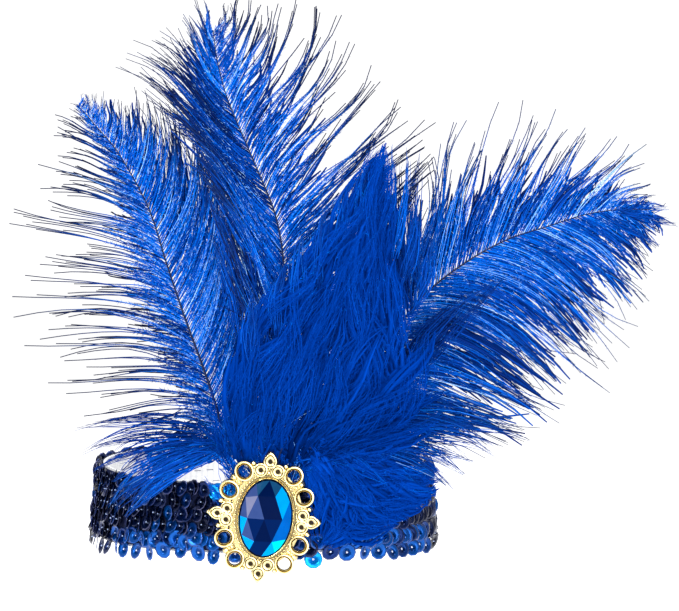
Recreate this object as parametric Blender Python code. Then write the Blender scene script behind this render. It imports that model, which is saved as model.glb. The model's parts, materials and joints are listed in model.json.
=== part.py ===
"""Showgirl feather headdress: a sequinned stretch headband with a stone brooch and blue plumes.

Everything is modelled in metres with +Z up. The origin is the middle of the head opening, level with
the band's lower edge at the front. The front of the headdress faces -Y and the wearer's left is +X.
"""

import math
from collections import namedtuple

import bmesh
import bpy
from mathutils import Vector
from mathutils.geometry import delaunay_2d_cdt

MM = 0.001
FULL_TURN = 2.0 * math.pi

# Headband
BAND_HEIGHT = 28.0 * MM
BAND_HALF_WIDTH = 62.2 * MM
BAND_HALF_DEPTH = 79.6 * MM
BAND_WALL = 1.4 * MM
BAND_FLARE = 1.2 * MM
SIDE_DROP = 2.2 * MM
SIDE_RISE = 1.0 * MM
BAND_TRIM = 0.6 * MM
BAND_STEPS = 76
JOIN_GAP = 0.3 * MM

# Sequin facing
SEQUIN_ROWS = 5
SEQUINS_ROUND = 76
SEQUIN_STEP = 1.1 * MM
SEQUIN_SCALLOP = 1.3 * MM
SEQUIN_LIP = 0.4 * MM
FACING_WALL = 1.3 * MM
FACING_HANG = 0.8 * MM

# Felt pad behind the brooch
PAD_HALF_WIDTH = 10.5 * MM
PAD_HALF_HEIGHT = 13.5 * MM
PAD_WALL = 0.8 * MM
PAD_STEPS = 32

# Brooch
BROOCH_HEIGHT = 17.0 * MM
BROOCH_TILT = math.radians(-6.3)
BROOCH_BACK = 86.6 * MM
PLATE_WALL = 1.2 * MM
RIM_RISE = 0.9 * MM
RING_HOLE = 2.1 * MM
RING_CREST = 2.65 * MM
RING_OUTER = 3.25 * MM
RING_CENTRES = ((8.3 * MM, 14.75 * MM), (12.5 * MM, 8.0 * MM))
RING_REACH_MIN = 13.5 * MM
LEAF_HOLE = 0.6 * MM
LEAF_CREST = 1.25 * MM
LEAF_LOBE = 2.2 * MM
LEAF_LOBES = ((2.9 * MM, 15.9 * MM), (12.8 * MM, 1.9 * MM))
LEAF_CAP = 1.9 * MM
LEAF_TIP = 1.0 * MM
LEAF_CAP_HIGH = 19.0 * MM
LEAF_CAP_WIDE = 15.9 * MM
LEAF_TIP_HIGH = 21.0 * MM
LEAF_TIP_WIDE = 18.0 * MM
EDGE_BEAD = 0.9 * MM
EDGE_BEADS = ((11.4 * MM, 12.3 * MM), (5.5 * MM, 17.9 * MM), (15.0 * MM, 4.2 * MM))
STONE_SEAT = 1.3 * MM
OUTLINE_STEPS = 160
HOLE_STEPS = 12
LEAF_HOLE_STEPS = 6
BEZEL_STEPS = 40

# Stone
STONE_HALF_WIDTH = 9.0 * MM
STONE_HALF_HEIGHT = 12.5 * MM
STONE_GIRDLE = 1.4 * MM
STONE_SHOULDER = 3.5 * MM
STONE_CROWN = 4.7 * MM
STONE_INNER = 0.65
STONE_TABLE = 0.16
STONE_FOOT = 0.97
STONE_SIDES = 24

# The bezel from its foot in to the stone's seat: distance out from the stone, and rise from the back
BEZEL_PROFILE = ((2.1 * MM, STONE_SEAT), (1.55 * MM, 2.3 * MM), (1.05 * MM, 1.9 * MM),
                 (0.75 * MM, 3.0 * MM), (0.4 * MM, 3.0 * MM), (JOIN_GAP, STONE_SEAT))

# Quills and vanes
QUILL_RADIUS = 0.9 * MM
QUILL_LAYER = -85.3 * MM
QUILL_SIDES = 8
LOCK_SWAY = 1.2 * MM
VANE_MID = 0.55
VANE_MID_WALL = 0.8
BASE_WALL = 0.45
BASE_GAIN = 0.25
END_WALL = 0.35
END_GAIN = 0.45

Finish = namedtuple("Finish", "name color roughness metallic")
ELASTIC = Finish("elastic", (0.80, 0.80, 0.78, 1.0), 0.85, 0.0)
SEQUINS = Finish("sequins", (0.01, 0.03, 0.16, 1.0), 0.25, 0.6)
FELT = Finish("felt", (0.01, 0.015, 0.06, 1.0), 0.95, 0.0)
GOLD = Finish("gold", (0.90, 0.70, 0.32, 1.0), 0.25, 1.0)
STONE = Finish("stone", (0.0, 0.06, 0.35, 1.0), 0.05, 0.0)
PLUMAGE = Finish("plumage", (0.0, 0.07, 0.50, 1.0), 0.70, 0.0)
MARABOU = Finish("marabou", (0.0, 0.09, 0.55, 1.0), 0.80, 0.0)


# Scene and materials

def clear_scene():
    """Remove every object that the file opened with."""
    for old in list(bpy.data.objects):
        bpy.data.objects.remove(old, do_unlink=True)


def make_material(finish):
    """Make the Principled material of one finish."""
    material = bpy.data.materials.new(finish.name)
    material.use_nodes = True
    shader = material.node_tree.nodes["Principled BSDF"]
    shader.inputs["Base Color"].default_value = finish.color
    shader.inputs["Roughness"].default_value = finish.roughness
    shader.inputs["Metallic"].default_value = finish.metallic
    material.diffuse_color = finish.color
    return material


def add_object(name, bm, finish):
    """Turn a bmesh into a named object with its finish, faces pointing out."""
    bmesh.ops.recalc_face_normals(bm, faces=bm.faces)
    mesh = bpy.data.meshes.new(name)
    bm.to_mesh(mesh)
    bm.free()
    mesh.materials.append(bpy.data.materials.get(finish.name) or make_material(finish))
    mesh.shade_smooth()
    mesh.set_sharp_from_angle(angle=math.radians(35))
    obj = bpy.data.objects.new(name, mesh)
    bpy.context.scene.collection.objects.link(obj)


# Shared shapes

def skin_rings(bm, rings, closed_length=False):
    """Join rings of points with quads, and cap both ends unless the length closes on itself."""
    loops = [[bm.verts.new(point) for point in ring] for ring in rings]
    pairs = list(zip(loops, loops[1:]))
    if closed_length:
        pairs.append((loops[-1], loops[0]))
    for low, high in pairs:
        for k in range(len(low)):
            after = (k + 1) % len(low)
            bm.faces.new((low[k], low[after], high[after], high[k]))
    if not closed_length:
        bm.faces.new(loops[0])
        bm.faces.new(loops[-1])


def band_point(angle, out, z):
    """Give the point of the headband's oval at an angle from the front, moved out from the wall."""
    flare = BAND_FLARE * (1.0 - 2.0 * z / BAND_HEIGHT)
    x = (BAND_HALF_WIDTH + out + flare) * math.sin(angle)
    y = -(BAND_HALF_DEPTH + out + flare) * math.cos(angle)
    return Vector((x, y, z))


def lower_edge(angle):
    """Height of the band's lower edge, which hangs a little at the sides."""
    return -SIDE_DROP * math.sin(angle) ** 2


def upper_edge(angle):
    """Height of the band's upper edge, a little higher at the sides."""
    return BAND_HEIGHT + SIDE_RISE * math.sin(angle) ** 2


def catmull_rom(a, b, c, d, t):
    """Point at t on the smooth curve from b to c."""
    return 0.5 * ((2.0 * b) + (c - a) * t + (2.0 * a - 5.0 * b + 4.0 * c - d) * t ** 2
                  + (3.0 * b - a - 3.0 * c + d) * t ** 3)


def smooth_at(points, place):
    """Point at a fractional index on the smooth curve through a list of vectors."""
    last = len(points) - 1
    low = min(int(place), last - 1)
    around = [points[max(0, min(last, low + k))] for k in (-1, 0, 1, 2)]
    return catmull_rom(*around, place - low)


# Headband

def build_band_base():
    """Pale elastic band, one closed oval strip."""
    bm = bmesh.new()
    rings = []
    for step in range(BAND_STEPS):
        angle = FULL_TURN * step / BAND_STEPS
        low = lower_edge(angle) + BAND_TRIM
        high = upper_edge(angle) - BAND_TRIM
        rings.append([band_point(angle, out, z) for out, z in (
            (0.0, low), (0.0, high), (-BAND_WALL, high), (-BAND_WALL, low))])
    skin_rings(bm, rings, closed_length=True)
    add_object("band_base", bm, ELASTIC)


def sequin_profile(angle, step):
    """Outer profile of the shingled rows at one angle, from the top edge down to the lower one."""
    inner = JOIN_GAP
    seat = inner + FACING_WALL
    top = upper_edge(angle)
    bottom = lower_edge(angle) - FACING_HANG
    pitch = (top - bottom) / SEQUIN_ROWS
    points = [(inner, top - SEQUIN_LIP), (seat, top - 0.5 * SEQUIN_LIP)]
    for row in range(1, SEQUIN_ROWS + 1):
        hangs = (step + row) % 2 == 0
        edge = top - row * pitch + (0.0 if hangs else SEQUIN_SCALLOP)
        points.append((seat + SEQUIN_STEP, edge))
        if row < SEQUIN_ROWS:
            points.append((seat, edge + SEQUIN_LIP))
    points.append((inner, edge + SEQUIN_LIP))
    return [band_point(angle, out, z) for out, z in points]


def build_sequin_facing():
    """Rows of overlapping sequins as one shingled skin with scalloped edges."""
    bm = bmesh.new()
    steps = 2 * SEQUINS_ROUND
    rings = [sequin_profile(FULL_TURN * step / steps, step) for step in range(steps)]
    skin_rings(bm, rings, closed_length=True)
    add_object("sequin_facing", bm, SEQUINS)


def build_mount_pad():
    """Hidden felt pad that the quills and the brooch are sewn to."""
    front = QUILL_LAYER + QUILL_RADIUS + JOIN_GAP
    oval = circle_points(0.0, 0.0, PAD_HALF_WIDTH, PAD_STEPS, PAD_HALF_HEIGHT / PAD_HALF_WIDTH)
    bm = bmesh.new()
    rings = [[Vector((point.x, y, BROOCH_HEIGHT + point.y)) for point in oval]
             for y in (front, front + PAD_WALL)]
    skin_rings(bm, rings)
    add_object("mount_pad", bm, FELT)


# Brooch

def mirrored(points):
    """The four mirror images of points that lie off both axes."""
    return [(sx * u, sv * v) for u, v in points for sx in (-1, 1) for sv in (-1, 1)]


def leaf_holes():
    """Centres of the three holes in each of the four leaf motifs."""
    centres = [(0.0, LEAF_CAP_HIGH), (0.0, -LEAF_CAP_HIGH), (LEAF_CAP_WIDE, 0.0), (-LEAF_CAP_WIDE, 0.0)]
    return centres + mirrored(LEAF_LOBES)


def outline_discs():
    """Discs (u, v, radius) whose union is the brooch's pierced border."""
    discs = [(u, v, RING_OUTER) for u, v in mirrored(RING_CENTRES)]
    discs += [(u, v, LEAF_LOBE) for u, v in mirrored(LEAF_LOBES)]
    discs += [(u, v, EDGE_BEAD) for u, v in mirrored(EDGE_BEADS)]
    for sign in (-1, 1):
        discs += [(0.0, sign * LEAF_CAP_HIGH, LEAF_CAP), (0.0, sign * LEAF_TIP_HIGH, LEAF_TIP)]
        discs += [(sign * LEAF_CAP_WIDE, 0.0, LEAF_CAP), (sign * LEAF_TIP_WIDE, 0.0, LEAF_TIP)]
    return discs


def border_radius(angle, discs):
    """Farthest point of the discs along a ray from the brooch's centre."""
    du, dv = math.cos(angle), math.sin(angle)
    reach = RING_REACH_MIN
    for u, v, radius in discs:
        along = u * du + v * dv
        off = abs(u * dv - v * du)
        if along > 0.0 and off < radius:
            reach = max(reach, along + math.sqrt(radius ** 2 - off ** 2))
    return reach


def circle_points(u, v, radius, steps, squash=1.0):
    """Points of a circle, or of an oval when squashed in height, in the brooch's own plane."""
    return [Vector((u + radius * math.cos(FULL_TURN * k / steps),
                    v + radius * squash * math.sin(FULL_TURN * k / steps))) for k in range(steps)]


def to_brooch_place(u, v, front):
    """Turn a point of the brooch's plane, and its distance in front of the back, into world place."""
    x = u * math.cos(BROOCH_TILT) - v * math.sin(BROOCH_TILT)
    z = u * math.sin(BROOCH_TILT) + v * math.cos(BROOCH_TILT)
    return Vector((x, -(BROOCH_BACK + front), BROOCH_HEIGHT + z))


def brooch_loops():
    """Closed loops of the brooch's plan: (points, rise in front of the back, kind)."""
    discs = outline_discs()
    outline = []
    for k in range(OUTLINE_STEPS):
        angle = FULL_TURN * k / OUTLINE_STEPS
        reach = border_radius(angle, discs)
        outline.append(Vector((reach * math.cos(angle), reach * math.sin(angle))))
    loops = [(outline, PLATE_WALL, "edge")]
    for u, v in mirrored(RING_CENTRES):
        loops.append((circle_points(u, v, RING_HOLE, HOLE_STEPS), PLATE_WALL, "hole"))
        loops.append((circle_points(u, v, RING_CREST, HOLE_STEPS), PLATE_WALL + RIM_RISE, "relief"))
    for u, v in leaf_holes():
        loops.append((circle_points(u, v, LEAF_HOLE, LEAF_HOLE_STEPS), PLATE_WALL, "hole"))
        crest = circle_points(u, v, LEAF_CREST, LEAF_HOLE_STEPS)
        loops.append((crest, PLATE_WALL + 0.8 * RIM_RISE, "relief"))
    for out, rise in BEZEL_PROFILE:
        half_u, half_v = STONE_HALF_WIDTH + out, STONE_HALF_HEIGHT + out
        loops.append((circle_points(0.0, 0.0, half_u, BEZEL_STEPS, half_v / half_u), rise, "relief"))
    return loops


def inside(point, loop):
    """True where a point of the plan lies inside a closed loop."""
    crossings = 0
    for a, b in zip(loop, loop[1:] + loop[:1]):
        if (a.y > point.y) != (b.y > point.y):
            if point.x < a.x + (point.y - a.y) * (b.x - a.x) / (b.y - a.y):
                crossings += 1
    return crossings % 2 == 1


def build_brooch_setting():
    """Gold brooch cast in one piece: pierced rings and leaves round a raised bezel."""
    loops = brooch_loops()
    points, edges, rises = [], [], []
    for ring, rise, _kind in loops:
        first = len(points)
        points += ring
        rises += [rise] * len(ring)
        edges += [(first + k, first + (k + 1) % len(ring)) for k in range(len(ring))]
    plan, _edges, faces, sources, _e, _f = delaunay_2d_cdt(points, edges, [], 0, 1e-7)
    heights = [rises[source[0]] for source in sources]
    holes = [ring for ring, _rise, kind in loops if kind == "hole"]
    outline = loops[0][0]
    bm = bmesh.new()
    front = [bm.verts.new(to_brooch_place(p.x, p.y, h)) for p, h in zip(plan, heights)]
    back = [bm.verts.new(to_brooch_place(p.x, p.y, 0.0)) for p in plan]
    for face in faces:
        middle = sum((plan[k] for k in face), Vector((0.0, 0.0))) / len(face)
        if inside(middle, outline) and not any(inside(middle, hole) for hole in holes):
            bm.faces.new([front[k] for k in face])
            bm.faces.new([back[k] for k in reversed(face)])
    twins = dict(zip(front, back))
    for edge in [e for e in bm.edges if e.is_boundary and e.verts[0] in twins]:
        a, b = edge.verts
        bm.faces.new((a, b, twins[b], twins[a]))
    bmesh.ops.delete(bm, geom=[v for v in bm.verts if not v.link_faces], context="VERTS")
    add_object("brooch_setting", bm, GOLD)


def stone_point(step, steps, scale, front):
    """Corner of the stone at one step round its oval."""
    angle = FULL_TURN * step / steps
    return to_brooch_place(scale * STONE_HALF_WIDTH * math.cos(angle),
                           scale * STONE_HALF_HEIGHT * math.sin(angle), STONE_SEAT + JOIN_GAP + front)


def build_stone():
    """Oval rose-cut stone: six main facets round a small table, six kites and a faceted shoulder."""
    bm = bmesh.new()
    sides = STONE_SIDES
    back = [bm.verts.new(stone_point(k, sides, STONE_FOOT, 0.0)) for k in range(sides)]
    girdle = [bm.verts.new(stone_point(k, sides, 1.0, STONE_GIRDLE)) for k in range(sides)]
    inner = [bm.verts.new(stone_point(k, 6, STONE_INNER, STONE_SHOULDER)) for k in range(6)]
    table = [bm.verts.new(stone_point(k, 6, STONE_TABLE, STONE_CROWN)) for k in range(6)]
    bm.faces.new(back)
    bm.faces.new(table)
    for k in range(sides):
        after = (k + 1) % sides
        bm.faces.new((back[k], back[after], girdle[after], girdle[k]))
    for k in range(6):
        after = (k + 1) % 6
        bm.faces.new((table[k], table[after], inner[after], inner[k]))
        bm.faces.new((inner[k], inner[after], girdle[4 * k + 2]))
        for step in (-2, -1, 0, 1):
            bm.faces.new((inner[k], girdle[(4 * k + step) % sides], girdle[(4 * k + step + 1) % sides]))
    add_object("stone", bm, STONE)


# Plumes

# A row across a vane: where it leaves the shaft, and the tips of its left and right barbs, all in
# millimetres. root_y and tip_y are the depths of the shaft and of the tips.
Barbs = namedtuple("Barbs", "root_x root_z root_y left_x left_z right_x right_z tip_y")
Quill = namedtuple("Quill", "x z y")
Plume = namedtuple("Plume", "name finish quill rows locks_per_row valley thickness")

LEFT_PLUME = Plume("plume_left", PLUMAGE, (Quill(-5.0, 9.0, -85.3), Quill(-8.2, 27.0, -85.3)), (
    Barbs(-11.3, 36.0, -84.8, -12.8, 38.6, -9.8, 38.0, -84.8),
    Barbs(-13.2, 42.0, -84.2, -50.0, 24.5, -5.5, 53.0, -81.5),
    Barbs(-16.0, 53.5, -83.8, -63.0, 49.0, -4.5, 71.0, -79.5),
    Barbs(-20.8, 68.0, -83.4, -76.0, 71.0, -5.0, 92.0, -77.5),
    Barbs(-27.0, 85.0, -83.2, -88.0, 90.0, -6.0, 112.0, -76.5),
    Barbs(-33.0, 103.0, -83.2, -87.0, 113.0, -12.0, 131.0, -76.5),
    Barbs(-38.8, 121.0, -83.4, -83.0, 133.0, -24.0, 148.0, -77.5),
    Barbs(-48.4, 139.0, -84.2, -74.0, 148.0, -40.0, 160.0, -79.5),
    Barbs(-56.5, 149.0, -85.4, -67.5, 154.5, -54.0, 162.0, -83.0),
    Barbs(-62.5, 156.0, -86.4, -64.5, 158.0, -61.0, 161.0, -86.0),
), 3, 0.84, 4.0)

CENTRE_PLUME = Plume("plume_centre", PLUMAGE, (Quill(-2.0, 9.0, -85.3), Quill(0.6, 41.0, -85.4)), (
    Barbs(2.6, 50.0, -88.4, -11.5, 57.0, 8.0, 54.0, -88.4),
    Barbs(5.2, 63.0, -91.0, -13.5, 84.0, 17.0, 80.0, -90.6),
    Barbs(6.8, 82.0, -92.2, -17.5, 108.0, 28.0, 102.0, -91.4),
    Barbs(6.6, 102.0, -92.6, -23.5, 133.0, 40.0, 122.0, -91.6),
    Barbs(3.9, 118.5, -92.8, -33.0, 153.0, 51.0, 139.0, -91.8),
    Barbs(-2.4, 134.5, -93.0, -46.0, 169.0, 56.0, 155.0, -92.0),
    Barbs(-8.2, 148.0, -93.4, -47.0, 177.0, 37.0, 171.0, -92.6),
    Barbs(-12.6, 159.0, -94.2, -36.0, 185.0, 24.0, 184.0, -93.6),
    Barbs(-15.4, 170.0, -95.4, -25.0, 190.0, 6.0, 190.0, -95.6),
    Barbs(-16.8, 180.0, -96.8, -19.0, 191.0, -13.0, 191.0, -98.0),
), 3, 0.86, 4.0)

RIGHT_PLUME = Plume("plume_right", PLUMAGE, (Quill(4.0, 9.0, -85.3), Quill(12.2, 37.0, -85.3)), (
    Barbs(17.0, 43.5, -84.4, 14.0, 54.0, 27.0, 39.5, -84.0),
    Barbs(28.0, 57.0, -83.6, 25.0, 82.0, 57.0, 33.0, -80.5),
    Barbs(41.0, 75.0, -83.2, 41.0, 110.0, 74.0, 36.5, -78.5),
    Barbs(53.5, 91.0, -83.0, 56.0, 132.0, 86.0, 41.5, -77.0),
    Barbs(67.0, 102.0, -83.0, 72.0, 147.0, 98.0, 45.0, -76.5),
    Barbs(82.0, 110.5, -83.2, 88.0, 153.5, 108.0, 56.0, -76.0),
    Barbs(97.0, 115.5, -83.6, 105.0, 151.5, 118.0, 70.0, -77.0),
    Barbs(110.0, 119.5, -84.2, 118.5, 149.0, 127.0, 87.0, -79.0),
    Barbs(121.0, 121.0, -85.2, 129.0, 139.0, 134.0, 104.0, -82.0),
    Barbs(131.0, 121.0, -86.6, 134.5, 127.5, 138.0, 115.0, -85.5),
), 3, 0.86, 4.0)

MARABOU_CENTRE = Plume("marabou_centre", MARABOU, (Quill(1.0, 9.0, -85.3), Quill(5.2, 38.8, -85.3)), (
    Barbs(7.6, 45.5, -92.5, 2.0, 49.0, 17.0, 44.0, -93.0),
    Barbs(13.5, 52.0, -100.5, -2.0, 63.0, 34.0, 50.0, -99.5),
    Barbs(19.0, 66.0, -103.5, 2.0, 83.0, 47.0, 66.0, -101.5),
    Barbs(26.0, 84.0, -104.5, 8.0, 103.0, 57.0, 86.0, -102.5),
    Barbs(33.0, 102.0, -104.5, 17.0, 122.0, 60.0, 106.0, -102.5),
    Barbs(39.0, 119.0, -103.5, 28.0, 136.0, 57.0, 126.0, -102.0),
    Barbs(43.0, 133.0, -102.0, 40.0, 140.0, 49.0, 140.0, -101.5),
), 3, 0.80, 12.0)

MARABOU_RIGHT = Plume("marabou_right", MARABOU, (Quill(12.0, 24.0, -85.3), Quill(19.0, 26.0, -85.3)), (
    Barbs(23.0, 26.0, -88.6, 22.5, 33.5, 25.0, 17.0, -88.6),
    Barbs(30.0, 25.0, -91.6, 32.0, 38.0, 35.0, 9.0, -89.0),
    Barbs(40.0, 23.5, -90.6, 45.0, 36.0, 46.0, 8.0, -86.0),
    Barbs(49.0, 21.5, -84.0, 55.5, 29.0, 55.0, 9.5, -79.0),
    Barbs(56.5, 20.5, -75.0, 61.5, 23.5, 60.5, 15.0, -71.5),
), 3, 0.82, 8.0)


def quill_ring(quill, heading):
    """Round section of a quill, square to the way that it runs."""
    side = Vector((heading.z, 0.0, -heading.x)).normalized()
    centre = Vector((quill.x, quill.y, quill.z)) * MM
    ring = []
    for k in range(QUILL_SIDES):
        angle = FULL_TURN * k / QUILL_SIDES + math.pi
        ring.append(centre + QUILL_RADIUS * (math.cos(angle) * side + math.sin(angle) * Vector((0, 1, 0))))
    return ring


def vane_ring(root, left, right, reach, thickness):
    """Lens section of a vane: tip, mid and shaft in front, then tip, mid and shaft behind."""
    left_tip = root.lerp(left, reach)
    right_tip = root.lerp(right, reach)
    front = Vector((0.0, -0.5 * thickness, 0.0))
    left_mid = root.lerp(left_tip, VANE_MID)
    right_mid = root.lerp(right_tip, VANE_MID)
    mid_front = VANE_MID_WALL * front
    return [left_tip, left_mid + mid_front, root + front, right_mid + mid_front,
            right_tip, right_mid - mid_front, root - front, left_mid - mid_front]


def build_plume(plume):
    """One plume in a single body: quill, then a vane whose edge stands in locks."""
    roots = [Vector((row.root_x, row.root_y, row.root_z)) * MM for row in plume.rows]
    lefts = [Vector((row.left_x, row.tip_y, row.left_z)) * MM for row in plume.rows]
    rights = [Vector((row.right_x, row.tip_y, row.right_z)) * MM for row in plume.rows]
    stem = [Vector((quill.x, quill.y, quill.z)) * MM for quill in plume.quill]
    heading = (stem[1] - stem[0]).normalized()
    rings = [quill_ring(quill, heading) for quill in plume.quill]
    last = len(plume.rows) - 1
    steps = 2 * plume.locks_per_row * last
    for step in range(steps + 1):
        place = last * step / steps
        reach = 1.0 if step % 2 == 0 else plume.valley
        taper = min(1.0, BASE_WALL + BASE_GAIN * place, END_WALL + END_GAIN * (last - place))
        sway = Vector((0.0, taper * LOCK_SWAY * math.cos(0.5 * math.pi * step), 0.0))
        rings.append(vane_ring(smooth_at(roots, place), smooth_at(lefts, place) + sway,
                               smooth_at(rights, place) - sway, reach, taper * plume.thickness * MM))
    bm = bmesh.new()
    skin_rings(bm, rings)
    add_object(plume.name, bm, plume.finish)


def main():
    """Build the headdress, one object for each piece."""
    clear_scene()
    build_band_base()
    build_sequin_facing()
    build_mount_pad()
    build_brooch_setting()
    build_stone()
    for plume in (LEFT_PLUME, CENTRE_PLUME, RIGHT_PLUME, MARABOU_CENTRE, MARABOU_RIGHT):
        build_plume(plume)


main()
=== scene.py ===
"""Looks of the showgirl feather headdress: plumes, sequins, brooch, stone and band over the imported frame.

Everything is in metres with +Z up. The origin is the middle of the head opening, level with the band's
lower edge at the front. The front of the headdress faces -Y and the wearer's left is +X.
"""

import json
import logging
import math
from dataclasses import dataclass, field, replace
from enum import Enum
from typing import Iterable, NamedTuple, Sequence

import bmesh
import bpy
import numpy as np
from mathutils import Matrix, Vector

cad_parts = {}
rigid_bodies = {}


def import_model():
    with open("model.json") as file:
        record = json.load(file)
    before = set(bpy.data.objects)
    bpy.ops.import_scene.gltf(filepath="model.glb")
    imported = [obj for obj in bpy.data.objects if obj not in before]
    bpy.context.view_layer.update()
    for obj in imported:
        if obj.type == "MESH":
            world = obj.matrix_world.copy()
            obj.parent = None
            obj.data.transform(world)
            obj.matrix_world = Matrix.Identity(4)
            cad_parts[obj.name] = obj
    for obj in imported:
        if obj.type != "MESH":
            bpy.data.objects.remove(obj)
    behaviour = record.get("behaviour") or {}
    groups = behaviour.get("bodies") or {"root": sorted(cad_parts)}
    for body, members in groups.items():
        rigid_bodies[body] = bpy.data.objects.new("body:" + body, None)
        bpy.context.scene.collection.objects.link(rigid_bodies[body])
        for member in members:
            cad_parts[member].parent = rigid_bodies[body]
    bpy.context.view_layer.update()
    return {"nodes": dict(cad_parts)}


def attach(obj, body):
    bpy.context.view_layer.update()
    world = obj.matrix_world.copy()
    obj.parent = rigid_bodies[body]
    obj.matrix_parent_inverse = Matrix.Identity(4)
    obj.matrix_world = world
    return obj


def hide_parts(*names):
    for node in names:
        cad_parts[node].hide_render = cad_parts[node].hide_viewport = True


LOG = logging.getLogger("headdress")

Array = np.ndarray
Color = tuple[float, float, float]
Pair = tuple[float, float]
Pairs = tuple[Pair, ...]
Rows = tuple[tuple[float, ...], ...]
Rng = np.random.Generator
Material = bpy.types.Material
Socket = bpy.types.NodeSocket
BMesh = bmesh.types.BMesh
BMVert = bmesh.types.BMVert

MM = 0.001
FULL_TURN = 2.0 * math.pi
BODY = "root"
DEPTH = np.array((0.0, 1.0, 0.0))

WHITE = (1.0, 1.0, 1.0)
BLACK = (0.0, 0.0, 0.0)

# Numbers of the Mix node's colour sockets, whose names it gives to other sockets too
COLOR_A = 6
COLOR_B = 7
COLOR_RESULT = 2

# Share of its chord at which a curve's handles stand, and a small step along a table's rows
HANDLE = 0.36
NEAR = 0.05

# The palest tone of a barb, and the share of its length from which its tip is wholly dusky
TOP_TONE = 0.8
DUSK_TO = 0.95


# Finishes


class NodeSheet:
    """A new material with its Principled shader, and short ways to add and wire nodes."""

    def __init__(self, name: str) -> None:
        """Start the material.

        Args:
            name: the material's name.
        """
        self.material = bpy.data.materials.new(name)
        self.material.use_nodes = True
        self.tree = self.material.node_tree
        self.shader = self.tree.nodes["Principled BSDF"]

    def fill(self, node: bpy.types.Node, sockets: dict[str | int, object]) -> None:
        """Give a node's inputs their values or links.

        Args:
            node: the node.
            sockets: values, or the sockets that give them, by the input's name or number.
        """
        for name, value in sockets.items():
            if isinstance(value, Socket):
                self.tree.links.new(value, node.inputs[name])
            else:
                node.inputs[name].default_value = value

    def set(self, **sockets: object) -> None:
        """Fill the shader's own inputs.

        Args:
            sockets: values or sockets by input name, with an underscore for each space.
        """
        self.fill(self.shader, {name.replace("_", " "): value for name, value in sockets.items()})

    def add(self, kind: str, sockets: dict[str | int, object] | None = None,
            **settings: object) -> bpy.types.Node:
        """Add a node.

        Args:
            kind: the node's type without its ShaderNode start.
            sockets: what its inputs are filled with.
            settings: properties to set on it.

        Returns:
            The node.
        """
        node = self.tree.nodes.new("ShaderNode" + kind)
        for name, value in settings.items():
            setattr(node, name, value)
        self.fill(node, sockets or {})
        return node

    def place(self) -> Socket:
        """Object coordinates."""
        return self.add("TexCoord").outputs["Object"]

    def attribute(self, name: str) -> Socket:
        """Read a number that the mesh carries at each point."""
        return self.add("Attribute", attribute_name=name).outputs["Fac"]

    def noise(self, scale: float, detail: float = 3.0, stretch: Color = WHITE) -> Socket:
        """Noise on object coordinates.

        Args:
            scale: waves to the metre.
            detail: how many finer layers it has.
            stretch: scale along each axis before the noise.

        Returns:
            The noise's height.
        """
        mapping = self.add("Mapping", {"Vector": self.place(), "Scale": stretch})
        vector = mapping.outputs["Vector"]
        return self.add("TexNoise", {"Vector": vector, "Scale": scale, "Detail": detail}).outputs["Fac"]

    def ramp(self, source: Socket, stops: Sequence[tuple[float, Color]]) -> Socket:
        """Colour a number by a ramp.

        Args:
            source: the number.
            stops: places from 0 to 1, each with its colour.

        Returns:
            The colour.
        """
        node = self.add("ValToRGB", {"Fac": source})
        elements = node.color_ramp.elements
        while len(elements) < len(stops):
            elements.new(0.5)
        for element, (place, color) in zip(elements, stops):
            element.position = place
            element.color = (*color, 1.0)
        return node.outputs["Color"]

    def blend(self, share: Socket, low: Socket | Color, high: Socket | Color, way: str = "MIX") -> Socket:
        """Mix two colours.

        Args:
            share: how much of the second shows.
            low: the first colour, or the socket that gives it.
            high: the second colour, or the socket that gives it.
            way: the way that the second is laid on the first.

        Returns:
            The mixed colour.
        """
        low, high = ((*color, 1.0) if isinstance(color, tuple) else color for color in (low, high))
        node = self.add("Mix", {"Factor": share, COLOR_A: low, COLOR_B: high}, data_type="RGBA",
                        blend_type=way)
        return node.outputs[COLOR_RESULT]

    def spread(self, source: Socket, low: float, high: float) -> Socket:
        """Bring a number from 0..1 to low..high."""
        return self.add("MapRange", {"Value": source, "To Min": low, "To Max": high}).outputs["Result"]

    def bump(self, height: Socket, strength: float, distance: float) -> None:
        """Raise the surface by a height.

        Args:
            height: the height, from 0 to 1.
            strength: how much of it counts.
            distance: its full rise in metres.
        """
        node = self.add("Bump", {"Height": height, "Strength": strength, "Distance": distance})
        self.set(Normal=node.outputs["Normal"])


@dataclass(frozen=True)
class Finish:
    """The look of a surface."""

    name: str

    def material(self) -> Material:
        """Make the material."""
        sheet = NodeSheet(self.name)
        self.wire(sheet)
        return sheet.material

    def wire(self, sheet: NodeSheet) -> None:
        """Wire the shader."""
        raise NotImplementedError


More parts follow.
